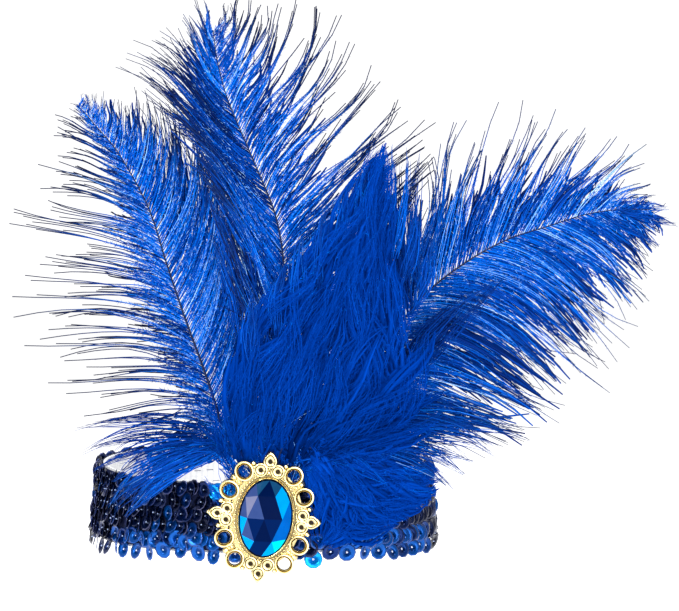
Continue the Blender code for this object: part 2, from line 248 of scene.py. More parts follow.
@dataclass(frozen=True)
class PlumageFinish(Finish):
    """Dyed barbs: dark to bright royal blue by tone, finely lined, and dusky at their free tips. The tones
    are partly dye that differs at random and partly painted shade on the plies behind. The top of the ramp
    is a painted highlight, and the barbs emit a little light in their own colour as painted light.
    """

    shadow: Color = (0.0, 0.008, 0.07)
    deep: Color = (0.0, 0.030, 0.25)
    royal: Color = (0.0, 0.090, 0.58)
    bright: Color = (0.0, 0.21, 0.90)
    # Painted highlight: the pale colour at the top of the tone ramp.
    painted_glint: Color = (0.36, 0.64, 1.0)
    dusk: Color = (0.006, 0.010, 0.04)
    lines: float = 0.55
    line_scale: float = 2.6
    roughness: float = 0.6
    specular: float = 0.04
    # Painted light: how strongly the barbs emit light in their own colour, which lifts their shadows.
    painted_light: float = 0.06

    def wire(self, sheet: NodeSheet) -> None:
        """Wire the shader."""
        sheet.set(Specular_IOR_Level=self.specular, Emission_Strength=self.painted_light)
        lines = sheet.add("TexNoise", {"W": sheet.attribute("lie"), "Scale": self.line_scale, "Detail": 1.0},
                          noise_dimensions="1D")
        shift = sheet.spread(lines.outputs["Fac"], -self.lines, self.lines)
        lined = sheet.add("Math", {0: sheet.attribute("tone"), 1: shift}, operation="ADD")
        # Tones past the bright stop give the painted highlight; low tones are partly painted shade on the
        # plies behind.
        tone = sheet.ramp(lined.outputs["Value"], (
            (0.0, self.shadow), (0.28, self.deep), (0.60, self.royal), (0.86, self.bright),
            (1.0, self.painted_glint)))
        mottled = sheet.blend(sheet.noise(900.0), tone, self.deep, "MULTIPLY")
        base = sheet.blend(sheet.spread(sheet.noise(260.0), 0.0, 0.35), tone, mottled)
        color = sheet.blend(sheet.attribute("tip"), base, self.dusk)
        sheet.set(Base_Color=color, Emission_Color=color)
        rough = sheet.spread(sheet.noise(700.0), self.roughness - 0.1, self.roughness + 0.1)
        sheet.set(Roughness=rough)


@dataclass(frozen=True)
class ShaftFinish(Finish):
    """Dyed quill: dark horn with a low gloss, streaked along its length."""

    name: str = "shaft_horn"
    color: Color = (0.002, 0.006, 0.03)
    streak: Color = (0.005, 0.014, 0.07)

    def wire(self, sheet: NodeSheet) -> None:
        """Wire the shader."""
        sheet.set(Specular_IOR_Level=0.15)
        streaks = sheet.noise(1400.0, 2.0, (1.0, 1.0, 0.1))
        sheet.set(Base_Color=sheet.blend(streaks, self.color, self.streak))
        sheet.set(Roughness=sheet.spread(streaks, 0.3, 0.5))


@dataclass(frozen=True)
class SequinFinish(Finish):
    """Metallised cups: navy foil and some royal blue, a few cyan ones as painted highlights, and a painted
    highlight along the rim.
    """

    name: str = "sequin_foil"
    night: Color = (0.001, 0.003, 0.016)
    navy: Color = (0.001, 0.018, 0.12)
    royal: Color = (0.0, 0.07, 0.34)
    cyan: Color = (0.0, 0.34, 1.0)
    # Painted highlight: the pale colour blended in along a cup's rim.
    rim: Color = (0.12, 0.125, 0.25)

    def wire(self, sheet: NodeSheet) -> None:
        """Wire the shader."""
        sheet.set(Metallic=0.6, Specular_IOR_Level=0.3)
        # Tone 1 is cyan, the painted highlight of a few sequins; lower tones on the low rows' sides are
        # painted shade.
        foil = sheet.ramp(sheet.attribute("tone"), (
            (0.0, self.night), (0.42, self.navy), (0.68, self.royal), (0.9, self.royal), (1.0, self.cyan)))
        color = sheet.blend(sheet.attribute("rim"), foil, self.rim)
        sheet.set(Base_Color=color)
        sheet.set(Roughness=sheet.spread(sheet.noise(500.0), 0.12, 0.30))
        sheet.bump(sheet.noise(1500.0), 0.25, 0.05 * MM)


@dataclass(frozen=True)
class NetFinish(Finish):
    """Dark stretch net that the sequins are sewn on."""

    name: str = "sequin_net"
    color: Color = (0.004, 0.008, 0.035)
    thread: Color = (0.010, 0.016, 0.07)
    mesh_size: float = 1.1 * MM

    def wire(self, sheet: NodeSheet) -> None:
        """Wire the shader."""
        sheet.set(Specular_IOR_Level=0.2)
        cells = sheet.add("TexVoronoi", {"Vector": sheet.place(), "Scale": 1.0 / self.mesh_size},
                          feature="DISTANCE_TO_EDGE")
        edge = cells.outputs["Distance"]
        color = sheet.ramp(edge, ((0.0, self.thread), (0.35, self.color)))
        sheet.set(Base_Color=color)
        sheet.set(Roughness=sheet.spread(edge, 0.7, 0.95))
        sheet.bump(edge, 0.6, 0.2 * MM)


@dataclass(frozen=True)
class ElasticFinish(Finish):
    """Off-white woven elastic: upright cords across, fine weft along, grey fibres at random, and faint grey
    painted into the valleys between cords as painted shade.
    """

    name: str = "elastic_weave"
    pale: Color = (0.80, 0.80, 0.79)
    rib: Color = (0.56, 0.57, 0.60)
    weft_scale: float = 420.0

    def wire(self, sheet: NodeSheet) -> None:
        """Wire the shader."""
        sheet.set(Specular_IOR_Level=0.25, Sheen_Weight=0.2, Sheen_Roughness=0.5)
        valley_shade = sheet.attribute("rib")
        fibre = sheet.noise(1800.0, 4.0, (1.0, 1.0, 0.35))
        weft = sheet.add("TexWave", {"Vector": sheet.place(), "Scale": self.weft_scale, "Distortion": 1.5},
                         wave_type="BANDS", bands_direction="Z")
        woven = sheet.blend(sheet.spread(fibre, 0.0, 0.5), self.pale, self.rib)
        # Painted shade: the valleys between the cords are greyed.
        color = sheet.blend(sheet.spread(valley_shade, 0.0, 0.55), woven, self.rib)
        sheet.set(Base_Color=color)
        sheet.set(Roughness=sheet.spread(fibre, 0.75, 0.95))
        sheet.bump(weft.outputs["Fac"], 0.5, 0.12 * MM)


@dataclass(frozen=True)
class ThreadFinish(Finish):
    """Sewing thread with a fine twist."""

    name: str = "sewing_thread"
    color: Color = (0.22, 0.23, 0.30)
    dark: Color = (0.10, 0.11, 0.18)

    def wire(self, sheet: NodeSheet) -> None:
        """Wire the shader."""
        sheet.set(Specular_IOR_Level=0.3, Sheen_Weight=0.3)
        twist = sheet.noise(2500.0, 2.0)
        sheet.set(Base_Color=sheet.blend(twist, self.color, self.dark))
        sheet.set(Roughness=sheet.spread(twist, 0.6, 0.9))


@dataclass(frozen=True)
class GoldFinish(Finish):
    """Pale cast gold: bright on the crests, browned in the grooves by antique patina deepened with painted
    shade, and slightly pocked; hole floors and the deepest recesses are painted near black as painted shade.
    """

    name: str = "cast_gold"
    bright: Color = (0.97, 0.84, 0.46)
    worn: Color = (0.90, 0.72, 0.33)
    # Partly antique patina and partly painted shade: grooves, creases and the undersides of beads.
    groove: Color = (0.08, 0.045, 0.010)
    # Painted shade: hole floors and the deepest recesses, which also lose their metal.
    hole_shade: Color = (0.012, 0.007, 0.002)

    def wire(self, sheet: NodeSheet) -> None:
        """Wire the shader."""
        sheet.set(Specular_IOR_Level=0.1)
        cast = sheet.noise(900.0, 4.0)
        body = sheet.blend(sheet.spread(cast, 0.0, 0.6), self.bright, self.worn)
        # The mark is highest in holes and grooves and under the beads: patina there, deepened by painted
        # shade.
        mark = sheet.attribute("groove")
        color = sheet.blend(mark, body, self.groove)
        depth = sheet.ramp(mark, ((0.86, BLACK), (1.0, (0.8, 0.8, 0.8))))
        sheet.set(Base_Color=sheet.blend(depth, color, self.hole_shade))
        metal = sheet.ramp(mark, ((0.84, WHITE), (0.97, BLACK)))
        sheet.set(Metallic=metal)
        sheet.set(Roughness=sheet.spread(cast, 0.12, 0.30))
        sheet.bump(cast, 0.35, 0.10 * MM)


@dataclass(frozen=True)
class StoneFinish(Finish):
    """Glass backed with foil under a clear gloss: each facet is painted in the shade that its foil would
    throw back, a painted reflection, and the stone emits a little of that colour as painted light.
    """

    name: str = "foiled_stone"
    cloud: Color = (0.0, 0.006, 0.05)

    def wire(self, sheet: NodeSheet) -> None:
        """Wire the shader."""
        # Painted light: the stone emits its painted facet colours.
        sheet.set(Roughness=0.05, Specular_IOR_Level=0.012, Emission_Strength=0.35)
        facets = sheet.add("Attribute", attribute_name="facet").outputs["Color"]
        color = sheet.blend(sheet.spread(sheet.noise(260.0, 2.0), 0.0, 0.45), facets, self.cloud)
        sheet.set(Base_Color=color, Emission_Color=color)


@dataclass(frozen=True)
class FeltFinish(Finish):
    """Navy felt: matt, with a short mixed nap."""

    name: str = "navy_felt"
    color: Color = (0.006, 0.012, 0.06)
    fleck: Color = (0.02, 0.035, 0.14)

    def wire(self, sheet: NodeSheet) -> None:
        """Wire the shader."""
        sheet.set(Roughness=0.95, Specular_IOR_Level=0.1, Sheen_Weight=0.4, Sheen_Roughness=0.6)
        nap = sheet.noise(2200.0, 5.0)
        sheet.set(Base_Color=sheet.blend(nap, self.color, self.fleck))
        sheet.bump(nap, 0.8, 0.2 * MM)


@dataclass(frozen=True)
class FloorFinish(Finish):
    """Plain white floor, lit enough to run into the backdrop."""

    name: str = "studio_floor"

    def wire(self, sheet: NodeSheet) -> None:
        """Wire the shader."""
        sheet.set(Base_Color=(0.9, 0.9, 0.9, 1.0), Roughness=0.9, Specular_IOR_Level=0.0,
                  Emission_Color=(*WHITE, 1.0), Emission_Strength=0.75)


# Meshes


def show(mesh: bpy.types.Mesh, material: Material, node: str) -> bpy.types.Object:
    """Put a finished mesh in the scene as a piece of the headdress.

    Args:
        mesh: the mesh, in its place.
        material: its finish.
        node: the CAD node that it stands for.

    Returns:
        The piece, which rides on the one body.
    """
    mesh.materials.append(material)
    piece = bpy.data.objects.new(mesh.name, mesh)
    bpy.context.scene.collection.objects.link(piece)
    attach(piece, BODY)
    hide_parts(node)
    LOG.info("%s: %d faces", mesh.name, len(mesh.polygons))
    return piece


def unit(vectors: Array) -> Array:
    """Bring vectors to length one."""
    length = np.linalg.norm(vectors, axis=-1, keepdims=True)
    return vectors / np.maximum(length, 1e-12)


def along(knots: Array, places: Array) -> Array:
    """Points of the smooth curve through some knots.

    Args:
        knots: the knots, one to a row.
        places: fractional knot numbers.

    Returns:
        A point for each place.
    """
    last = len(knots) - 1
    low = np.clip(places.astype(int), 0, last - 1)
    t = (places - low)[:, None]
    a, b, c, d = (knots[np.clip(low + k, 0, last)] for k in (-1, 0, 1, 2))
    return 0.5 * (2.0 * b + (c - a) * t + (2.0 * a - 5.0 * b + 4.0 * c - d) * t ** 2
                  + (3.0 * b - a - 3.0 * c + d) * t ** 3)


def run_lengths(points: Array) -> Array:
    """Length of the way from the first point to each."""
    runs = np.linalg.norm(np.diff(points, axis=0), axis=1)
    return np.concatenate(((0.0,), np.cumsum(runs)))


def even_places(knots: Array, count: int, fine: int = 400) -> Array:
    """Fractional knot numbers at even steps along the smooth curve's length."""
    places = np.linspace(0.0, len(knots) - 1, fine)
    length = run_lengths(along(knots, places))
    return np.interp(np.linspace(0.0, length[-1], count), length, places)


def turned(vectors: Array, angle: Array | float) -> Array:
    """Turn vectors about the depth axis, to the left as seen from the front.

    Args:
        vectors: vectors, one to a row.
        angle: radians, one for each or one for all.

    Returns:
        The turned vectors.
    """
    c, s = np.cos(angle), np.sin(angle)
    x, z = vectors[..., 0], vectors[..., 2]
    return np.stack((c * x - s * z, vectors[..., 1], s * x + c * z), axis=-1)


def bezier(p0: Array, p1: Array, p2: Array, p3: Array, t: Array) -> Array:
    """Points of many cubic curves: one curve to a row of the ends, one point to a value of t."""
    t = t[..., None]
    ends = [p[:, None, :] for p in (p0, p1, p2, p3)]
    s = 1.0 - t
    return s ** 3 * ends[0] + 3.0 * s ** 2 * t * ends[1] + 3.0 * s * t ** 2 * ends[2] + t ** 3 * ends[3]


def curve_knots(roots: Array, tips: Array, starts: Array, ends: Array) -> tuple[Array, ...]:
    """The four knots of cubic curves that leave and end along unit vectors, one curve to a row."""
    reach = HANDLE * np.linalg.norm(tips - roots, axis=1)[:, None]
    return roots, roots + reach * starts, tips - reach * ends, tips


def smoothstep(value: Array) -> Array:
    """Ease from 0 to 1."""
    value = np.clip(value, 0.0, 1.0)
    return value * value * (3.0 - 2.0 * value)


@dataclass
class JoinedMesh:
    """Many small closed shapes gathered as arrays and joined in one mesh. The lie that each point
    carries goes across its strand, and moves on by a step from one strand to the next."""

    corners: int = 3
    tube_lie: float = 7.3
    spike_lie: float = 5.1
    points: list[Array] = field(default_factory=list)
    faces: list[Array] = field(default_factory=list)
    values: dict[str, list[Array]] = field(default_factory=dict)
    count: int = 0

    def extend(self, points: Array, faces: Array, **values: Array) -> None:
        """Add shapes.

        Args:
            points: their points, one to a row.
            faces: their faces, as numbers of those points.
            values: numbers that each point carries, by name.
        """
        self.points.append(points)
        self.faces.append(faces + self.count)
        for name, numbers in values.items():
            self.values.setdefault(name, []).append(numbers)
        self.count += len(points)

    def copies(self, places: Array, points: Array, faces: Array, **values: Array) -> None:
        """Add copies of one shape.

        Args:
            places: the copies' matrices.
            points: the shape's points.
            faces: its faces, as numbers of those points.
            values: numbers that each point of each copy carries, by name.
        """
        spots = np.einsum("nij,pj->npi", places[:, :3, :3], points) + places[:, None, :3, 3]
        first = len(points) * np.arange(len(places))[:, None, None]
        self.extend(spots.reshape(-1, 3), (first + faces).reshape(-1, self.corners), **values)

    def tubes(self, paths: Array, radii: Array, sides: int, thin: float = 1.0, **values: Array) -> None:
        """Add closed tubes.

        Args:
            paths: the middle lines, as tubes by points by three.
            radii: the radius at each of those points.
            sides: how many sides a tube has.
            thin: thickness from front to back, as a share of the width.
            values: numbers at each of those points, by name.
        """
        many, steps = paths.shape[:2]
        ahead = unit(np.gradient(paths, axis=1))
        across = unit(np.cross(ahead, DEPTH))
        over = thin * np.cross(ahead, across)
        angles = FULL_TURN * np.arange(sides) / sides
        rings = (np.cos(angles)[:, None] * across[:, :, None] + np.sin(angles)[:, None] * over[:, :, None])
        points = paths[:, :, None] + radii[:, :, None, None] * rings
        number = np.arange(many * steps * sides).reshape(many, steps, sides)
        near, far = number[:, :-1], number[:, 1:]
        near_next, far_next = np.roll(near, -1, axis=2), np.roll(far, -1, axis=2)
        walls = [np.stack(face, axis=-1).reshape(-1, 3)
                 for face in ((near, near_next, far_next), (near, far_next, far))]
        ends = []
        for k in range(1, sides - 1):
            ends.append(number[:, 0][:, (0, k + 1, k)])
            ends.append(number[:, -1][:, (0, k, k + 1)])
        numbers = {name: np.repeat(each.reshape(-1), sides) for name, each in values.items()}
        lie = np.cos(angles) * radii[..., None] / MM + self.tube_lie * np.arange(many)[:, None, None]
        self.extend(points.reshape(-1, 3), np.concatenate(walls + ends), lie=lie.ravel(), **numbers)

    def spikes(self, feet: Array, ways: Array, across: Array, lengths: Array, widths: Array,
               **values: Array) -> None:
        """Add thin three-sided spikes.

        Args:
            feet: where each stands.
            ways: the unit vector that each points along.
            across: a unit vector square to that, which its foot is widest along.
            lengths: their lengths.
            widths: half the widths of their feet.
            values: a number for each spike, by name.
        """
        over = np.cross(ways, across)
        wide, thin = widths[:, None], 0.5 * widths[:, None]
        corners = (feet + wide * across, feet - 0.5 * wide * across + thin * over,
                   feet - 0.5 * wide * across - thin * over, feet + lengths[:, None] * ways)
        points = np.stack(corners, axis=1).reshape(-1, 3)
        first = 4 * np.arange(len(feet))[:, None, None]
        faces = first + np.array(((0, 1, 3), (1, 2, 3), (2, 0, 3), (2, 1, 0)))
        numbers = {name: np.repeat(each, 4) for name, each in values.items()}
        lie = np.repeat(self.spike_lie * np.arange(len(feet)), 4)
        self.extend(points, faces.reshape(-1, 3), lie=lie, **numbers)

    def mesh(self, name: str) -> bpy.types.Mesh:
        """Join everything.

        Args:
            name: the mesh's name.

        Returns:
            The mesh, with its numbers as point attributes.
        """
        points, faces = np.concatenate(self.points), np.concatenate(self.faces)
        mesh = bpy.data.meshes.new(name)
        mesh.vertices.add(len(points))
        mesh.vertices.foreach_set("co", points.astype(np.float32).ravel())
        mesh.loops.add(faces.size)
        mesh.loops.foreach_set("vertex_index", faces.astype(np.int32).ravel())
        mesh.polygons.add(len(faces))
        mesh.polygons.foreach_set("loop_start", (self.corners * np.arange(len(faces))).astype(np.int32))
        mesh.update(calc_edges=True)
        mesh.shade_smooth()
        for key, parts in self.values.items():
            layer = mesh.attributes.new(key, "FLOAT", "POINT")
            layer.data.foreach_set("value", np.concatenate(parts).astype(np.float32))
        return mesh


# Feathers


class Side(Enum):
    """The two sides of a shaft, as its root is below: the turn from the shaft to its barbs."""

    LEFT = 1.0
    RIGHT = -1.0


class Barbs(NamedTuple):
    """A row across a vane in millimetres: where it leaves the shaft, and its left and right tips."""

    root_x: float
    root_z: float
    root_y: float
    left_x: float
    left_z: float
    right_x: float
    right_z: float
    tip_y: float


@dataclass(frozen=True)
class Fuzz:
    """Barbules along barbs. Density is to the millimetre, width is half that of a foot, angles are in
    degrees, and first, last and dusk_from are shares of a barb's length. The highlight share is that of
    barbules painted as highlights, which lie close along their barb, a little thicker, in a tone past the
    ramp's top."""

    density: float
    length: float
    width: float
    dusk: float
    dusk_from: float = 0.7
    first: float = 0.0
    last: float = 0.93
    painted_glints: float = 0.0
    lean: Pair = (28.0, 62.0)
    lit_lean: float = 9.0
    painted_glint_tone: float = 1.35
    lit_girth: float = 1.3
    roll: float = 0.55
    tone_spread: float = 0.10

    def add(self, joined: JoinedMesh, curves: Array, tones: Array, rng: Rng) -> None:
        """Set the barbules.

        Args:
            joined: takes the barbules.
            curves: the barbs, as barbs by points by three.
            tones: the tone at each of those points.
            rng: source of the irregularities.
        """
        steps = curves.shape[1] - 1
        runs = np.linalg.norm(np.diff(curves, axis=1), axis=2).sum(axis=1)
        counts = np.maximum(1, (runs / MM * self.density).astype(int))
        barb = np.repeat(np.arange(len(curves)), counts)
        many = len(barb)
        t = self.first + rng.random(many) ** 1.3 * (self.last - self.first)
        low = np.minimum((t * steps).astype(int), steps - 1)
        share = (t * steps - low)[:, None]
        before, after = curves[barb, low], curves[barb, low + 1]
        feet = before + share * (after - before)
        ahead = unit(after - before)
        flat = unit(np.cross(ahead, DEPTH))
        over = np.cross(ahead, flat)
        roll = rng.normal(0.0, self.roll, many) + np.where(rng.random(many) < 0.5, 0.0, math.pi)
        side = np.cos(roll)[:, None] * flat + np.sin(roll)[:, None] * over
        lean = np.radians(rng.uniform(*self.lean, many))
        # Painted highlights: a share of the barbules, most near the barb's middle, lie close along it and
        # take a tone past the ramp's top.
        lit = rng.random(many) < self.painted_glints * np.sin(math.pi * t)
        lean[lit] = math.radians(self.lit_lean)
        ways = unit(np.cos(lean)[:, None] * ahead + np.sin(lean)[:, None] * side)
        across = unit(np.cross(ways, np.cross(ahead, side)))
        taper = (0.25 + 0.75 * (1.0 - t) ** 0.6) * (0.4 + 0.6 * smoothstep(t / 0.25))
        size = self.length * taper * rng.uniform(0.6, 1.15, many)
        tone = np.clip(tones[barb, low] + rng.normal(0.0, self.tone_spread, many), 0.0, TOP_TONE)
        tone[lit] = self.painted_glint_tone
        tip = self.dusk * smoothstep((t - self.dusk_from) / (DUSK_TO - self.dusk_from)) * 0.9
        wide = self.width * (0.3 + 0.7 * (1.0 - t)) * np.where(lit, self.lit_girth, 1.0)
        joined.spikes(feet, ways, across, size, wide, tone=tone, tip=tip)


@dataclass(frozen=True)
class VaneHabit:
    """How the barbs of one side grow, hang together and carry their fuzz. Angles are in degrees, and
    the sweep, in rows, goes from the foot of the vane to its tip."""

    barbs: int
    spring: float
    flare: float
    flare_gain: float = 0.0
    ragged: float = 0.3
    sweep: Pair = (0.0, 0.0)
    reach: Pair = (0.80, 1.04)
    lift: float = 0.0
    lock: tuple[int, int] = (3, 7)
    cling: Pair = (0.45, 0.9)
    cling_from: float = 0.12
    splay: float = 0.05
    depth: float = 2.2 * MM
    wave: float = 0.8 * MM
    stray: float = 0.05
    fuzz: float = 2.2
    fuzz_length: float = 2.3 * MM
    fuzz_width: float = 0.16 * MM
    fuzz_from: float = 0.04
    fuzz_to: float = 0.93
    # Share of barbules painted as highlights.
    painted_glints: float = 0.2
    thin_to: float = 0.0
    tone: Pair = (0.35, 0.75)
    dusk: float = 0.9
    dusk_from: float = 0.55
    root_radius: float = 0.24 * MM
    tip_radius: float = 0.13 * MM
    under_reach: Pair = (0.5, 0.95)
    under_share: float = 0.7
    # Painted shade: darker tones for the ply behind.
    under_shade_tone: Pair = (0.08, 0.42)
    mat_share: float = 0.45
    mat_reach: Pair = (0.35, 0.6)
    # Painted shade: darker tones for the down behind.
    mat_shade_tone: Pair = (0.15, 0.4)
    root_spread: float = 0.012
    spring_spread: float = 3.0
    lock_spread: float = 8.0
    barb_spread: float = 5.0
    lock_reach: Pair = (0.9, 1.04)
    cling_over: float = 0.5
    stray_cling: float = 0.15
    stray_splay: float = 2.5
    beats: Pair = (0.6, 1.3)
    phase_spread: float = 0.35
    tone_spread: float = 0.11
    full_length: float = 22.0 * MM

    def under(self) -> "VaneHabit":
        """The ply behind: fewer and shorter barbs in other locks, in darker tones as painted shade."""
        return replace(self, barbs=int(self.under_share * self.barbs), reach=self.under_reach,
                       lift=1.6 * MM, fuzz=0.6, tone=self.under_shade_tone, spring=self.spring + 6.0,
                       splay=2.0 * self.splay, root_radius=1.3 * self.root_radius,
                       fuzz_width=1.3 * self.fuzz_width, thin_to=0.1)

    def mat(self) -> "VaneHabit":
        """The down behind both plies: short broad strips that close the middle of the vane, in darker tones
        as painted shade.
        """
        return replace(self, barbs=int(self.mat_share * self.barbs), reach=self.mat_reach, lift=2.6 * MM,
                       fuzz=0.1, tone=self.mat_shade_tone, cling=(0.0, 0.1), root_radius=1.1 * MM,
                       tip_radius=0.3 * MM, dusk=0.2, splay=0.03, thin_to=0.2)


@dataclass
class Feather:
    """A feather's table in millimetres: its CAD node, the bare quill's knots as x, z and y, and its rows
    of barbs from root to tip, in the order of Barbs."""

    node: str
    quill: Rows
    rows: Rows

    @property
    def stem(self) -> Array:
        """Knots of the whole shaft, quill first."""
        return np.concatenate((np.array([(x, y, z) for x, z, y in self.quill]) * MM, self.roots))

    @property
    def barbs(self) -> list[Barbs]:
        """The rows, with their columns named."""
        return [Barbs(*row) for row in self.rows]

    @property
    def roots(self) -> Array:
        """Knots of the shaft where barbs grow."""
        return np.array([(row.root_x, row.root_y, row.root_z) for row in self.barbs]) * MM

    def tips(self, side: Side) -> Array:
        """Knots of the outline that one side's barbs reach to."""
        if side is Side.LEFT:
            return np.array([(row.left_x, row.tip_y, row.left_z) for row in self.barbs]) * MM
        return np.array([(row.right_x, row.tip_y, row.right_z) for row in self.barbs]) * MM


@dataclass
class Plume:
    """An ostrich plume: one shaft, and on each side barbs that cling in locks and carry barbules. The
    down's place is in rows of the table, and its depth and length are in millimetres."""

    feather: Feather
    left: VaneHabit
    right: VaneHabit
    seed: int
    wisps: tuple["Wisp", ...] = ()
    down: int = 22
    down_rows: Pair = (0.45, 2.4)
    down_depth: Pair = (-3.0, 1.0)
    down_length: Pair = (10.0, 20.0)
    down_tone: Pair = (0.3, 0.7)
    down_step: float = 0.2
    down_turn: float = 0.8
    down_curl: float = 0.9
    steps: int = 8
    shaft_radius: float = 0.6 * MM
    shaft_tip: float = 0.12 * MM
    shaft_steps: int = 70

    def build(self, vane: Material, shaft: Material) -> None:
        """Make the shaft and both vanes."""
        node = self.feather.node
        self.build_shaft(shaft)
        for side, habit in ((Side.LEFT, self.left), (Side.RIGHT, self.right)):
            rng = np.random.default_rng(self.seed + (side is Side.RIGHT))
            joined = JoinedMesh()
            for ply in (habit, habit.under(), habit.mat()):
                self.grow(joined, side, ply, rng)
            if side is Side.LEFT:
                self.add_down(joined, rng)
                for wisp in self.wisps:
                    wisp.add(joined, rng)
            show(joined.mesh(f"{node}_vane_{side.name.lower()}"), vane, node)

    def add_down(self, joined: JoinedMesh, rng: Rng) -> None:
        """Add the soft afterfeather round the top of the quill."""
        stem = self.feather.stem
        many = self.down
        places = rng.uniform(*self.down_rows, many)
        roots = along(stem, places)
        ahead = unit(along(stem, places + self.down_step) - along(stem, places - self.down_step))
        roots[:, 1] += rng.uniform(*self.down_depth, many) * MM
        starts = turned(ahead, rng.uniform(-self.down_turn, self.down_turn, many))
        ends = turned(ahead, rng.uniform(-self.down_curl, self.down_curl, many))
        tips = roots + rng.uniform(*self.down_length, many)[:, None] * MM * unit(starts + ends)
        bed = FlameBed(barbs=10, girth=2.8 * MM)
        bed.add(joined, roots, tips, starts, ends, rng.uniform(*self.down_tone, many), rng)

    def build_shaft(self, material: Material) -> None:
        """Make the shaft, a tapered tube from the pad to the feather's tip."""
        stem = self.feather.stem
        places = even_places(stem, self.shaft_steps)
        taper = np.linspace(0.0, 1.0, self.shaft_steps) ** 0.8
        radii = self.shaft_radius + (self.shaft_tip - self.shaft_radius) * taper
        joined = JoinedMesh()
        joined.tubes(along(stem, places)[None], radii[None], 8)
        show(joined.mesh(f"{self.feather.node}_shaft"), material, self.feather.node)

    def barb_curves(self, side: Side, habit: VaneHabit, rng: Rng) -> tuple[Array, Array]:
        """Middle lines of one side's barbs.

        Args:
            side: the side of the shaft.
            habit: how that side grows.
            rng: source of the irregularities.

        Returns:
            The curves as barbs by points by three, and each barb's lock number.
        """
        roots_table, tips_table = self.feather.roots, self.feather.tips(side)
        last = len(roots_table) - 1
        count = habit.barbs
        places = even_places(roots_table, count + 2)[1:-1]
        places = np.clip(places + rng.normal(0.0, habit.root_spread, count), 0.0, last)
        roots = along(roots_table, places)
        ahead = np.minimum(places + NEAR, last)
        headings = unit(along(roots_table, ahead) - along(roots_table, ahead - 2.0 * NEAR))
        sweep = np.interp(places, (0.0, last), habit.sweep) * (1.0 - (places / last) ** 4)
        tips = along(tips_table, np.minimum(places + sweep, last))
        lock, middle = self.locks(count, habit, rng)
        locks = lock[-1] + 1
        reach = rng.uniform(*habit.reach, count) * rng.uniform(*habit.lock_reach, locks)[lock]
        tips = roots + (tips - roots) * reach[:, None]
        chord = tips - roots
        length = np.linalg.norm(chord, axis=1)
        spring = np.radians(habit.spring + rng.normal(0.0, habit.spring_spread, count))
        lean = habit.flare + rng.normal(0.0, habit.lock_spread, locks)[lock]
        lean = lean + rng.normal(0.0, habit.barb_spread, count) + habit.flare_gain * places / last
        out = turned(headings, side.value * spring)
        end = turned(unit(chord), side.value * np.radians(lean))
        keep = 1.0 - habit.ragged * rng.random(count)
        keep[middle] = 1.0
        t = keep[:, None] * np.linspace(0.0, 1.0, self.steps + 1)
        knots = curve_knots(roots, tips, out, end)
        own = bezier(*knots, t)
        guide = bezier(*(knot[middle[lock]] for knot in knots), t)
        cling = rng.uniform(*habit.cling, locks)[lock] * rng.uniform(0.8, 1.0, count)
        stray = rng.random(count) < habit.stray
        cling[stray] *= habit.stray_cling
        pull = cling[:, None] * smoothstep((t - habit.cling_from) / habit.cling_over)
        curves = own + pull[..., None] * (guide - own)
        square = turned(unit(chord), 0.5 * math.pi)
        phase = rng.uniform(0.0, FULL_TURN, locks)[lock] + rng.normal(0.0, habit.phase_spread, count)
        beat = rng.uniform(*habit.beats, locks)[lock]
        swing = habit.wave * t * np.sin(FULL_TURN * beat[:, None] * t + phase[:, None])
        splay = habit.splay * rng.normal(0.0, 1.0, count) * length
        splay[stray] *= habit.stray_splay
        swing += splay[:, None] * t ** 3
        depth = rng.normal(0.0, habit.depth, locks)[lock] + rng.normal(0.0, 0.3 * habit.depth, count)
        curves += swing[..., None] * square[:, None]
        curves[..., 1] += (depth + habit.lift)[:, None] * t ** 1.3 + 0.3 * habit.lift
        return curves, lock

    @staticmethod
    def locks(count: int, habit: VaneHabit, rng: Rng) -> tuple[Array, Array]:
        """Share barbs among locks.

        Args:
            count: how many barbs there are.
            habit: gives the size of the locks.
            rng: source of the irregularities.

        Returns:
            Each barb's lock number, and each lock's middle barb.
        """
        lock = np.zeros(count, int)
        middle = []
        start = number = 0
        while start < count:
            size = int(rng.integers(habit.lock[0], habit.lock[1] + 1))
            end = min(count, start + size)
            lock[start:end] = number
            middle.append((start + end - 1) // 2)
            start, number = end, number + 1
        return lock, np.array(middle)

    def grow(self, joined: JoinedMesh, side: Side, habit: VaneHabit, rng: Rng) -> None:
        """Make one side's barbs with their barbules.

        Args:
            joined: takes the shapes.
            side: the side of the shaft.
            habit: how that side grows.
            rng: source of the irregularities.
        """
        curves, lock = self.barb_curves(side, habit, rng)
        count = len(curves)
        t = np.linspace(0.0, 1.0, self.steps + 1)[None].repeat(count, axis=0)
        tone = rng.uniform(*habit.tone, lock[-1] + 1)[lock] + rng.normal(0.0, habit.tone_spread, count)
        tones = np.clip(np.broadcast_to(tone[:, None], t.shape), 0.0, TOP_TONE)
        dusk = habit.dusk * smoothstep((t - habit.dusk_from) / (DUSK_TO - habit.dusk_from))
        length = np.linalg.norm(curves[:, -1] - curves[:, 0], axis=1)[:, None]
        stout = np.clip(length / habit.full_length, 0.3, 1.0) ** 0.7
        radii = stout * (habit.tip_radius + (habit.root_radius - habit.tip_radius) * (1.0 - t) ** 0.7)
        if habit.thin_to:
            radii *= 0.15 + 0.85 * smoothstep(t / habit.thin_to - 0.4)
        joined.tubes(curves, radii, 3, 0.4, tone=tones, tip=dusk)
        Fuzz(habit.fuzz, habit.fuzz_length, habit.fuzz_width, habit.dusk, habit.dusk_from, habit.fuzz_from,
             habit.fuzz_to, habit.painted_glints).add(joined, curves, tones, rng)


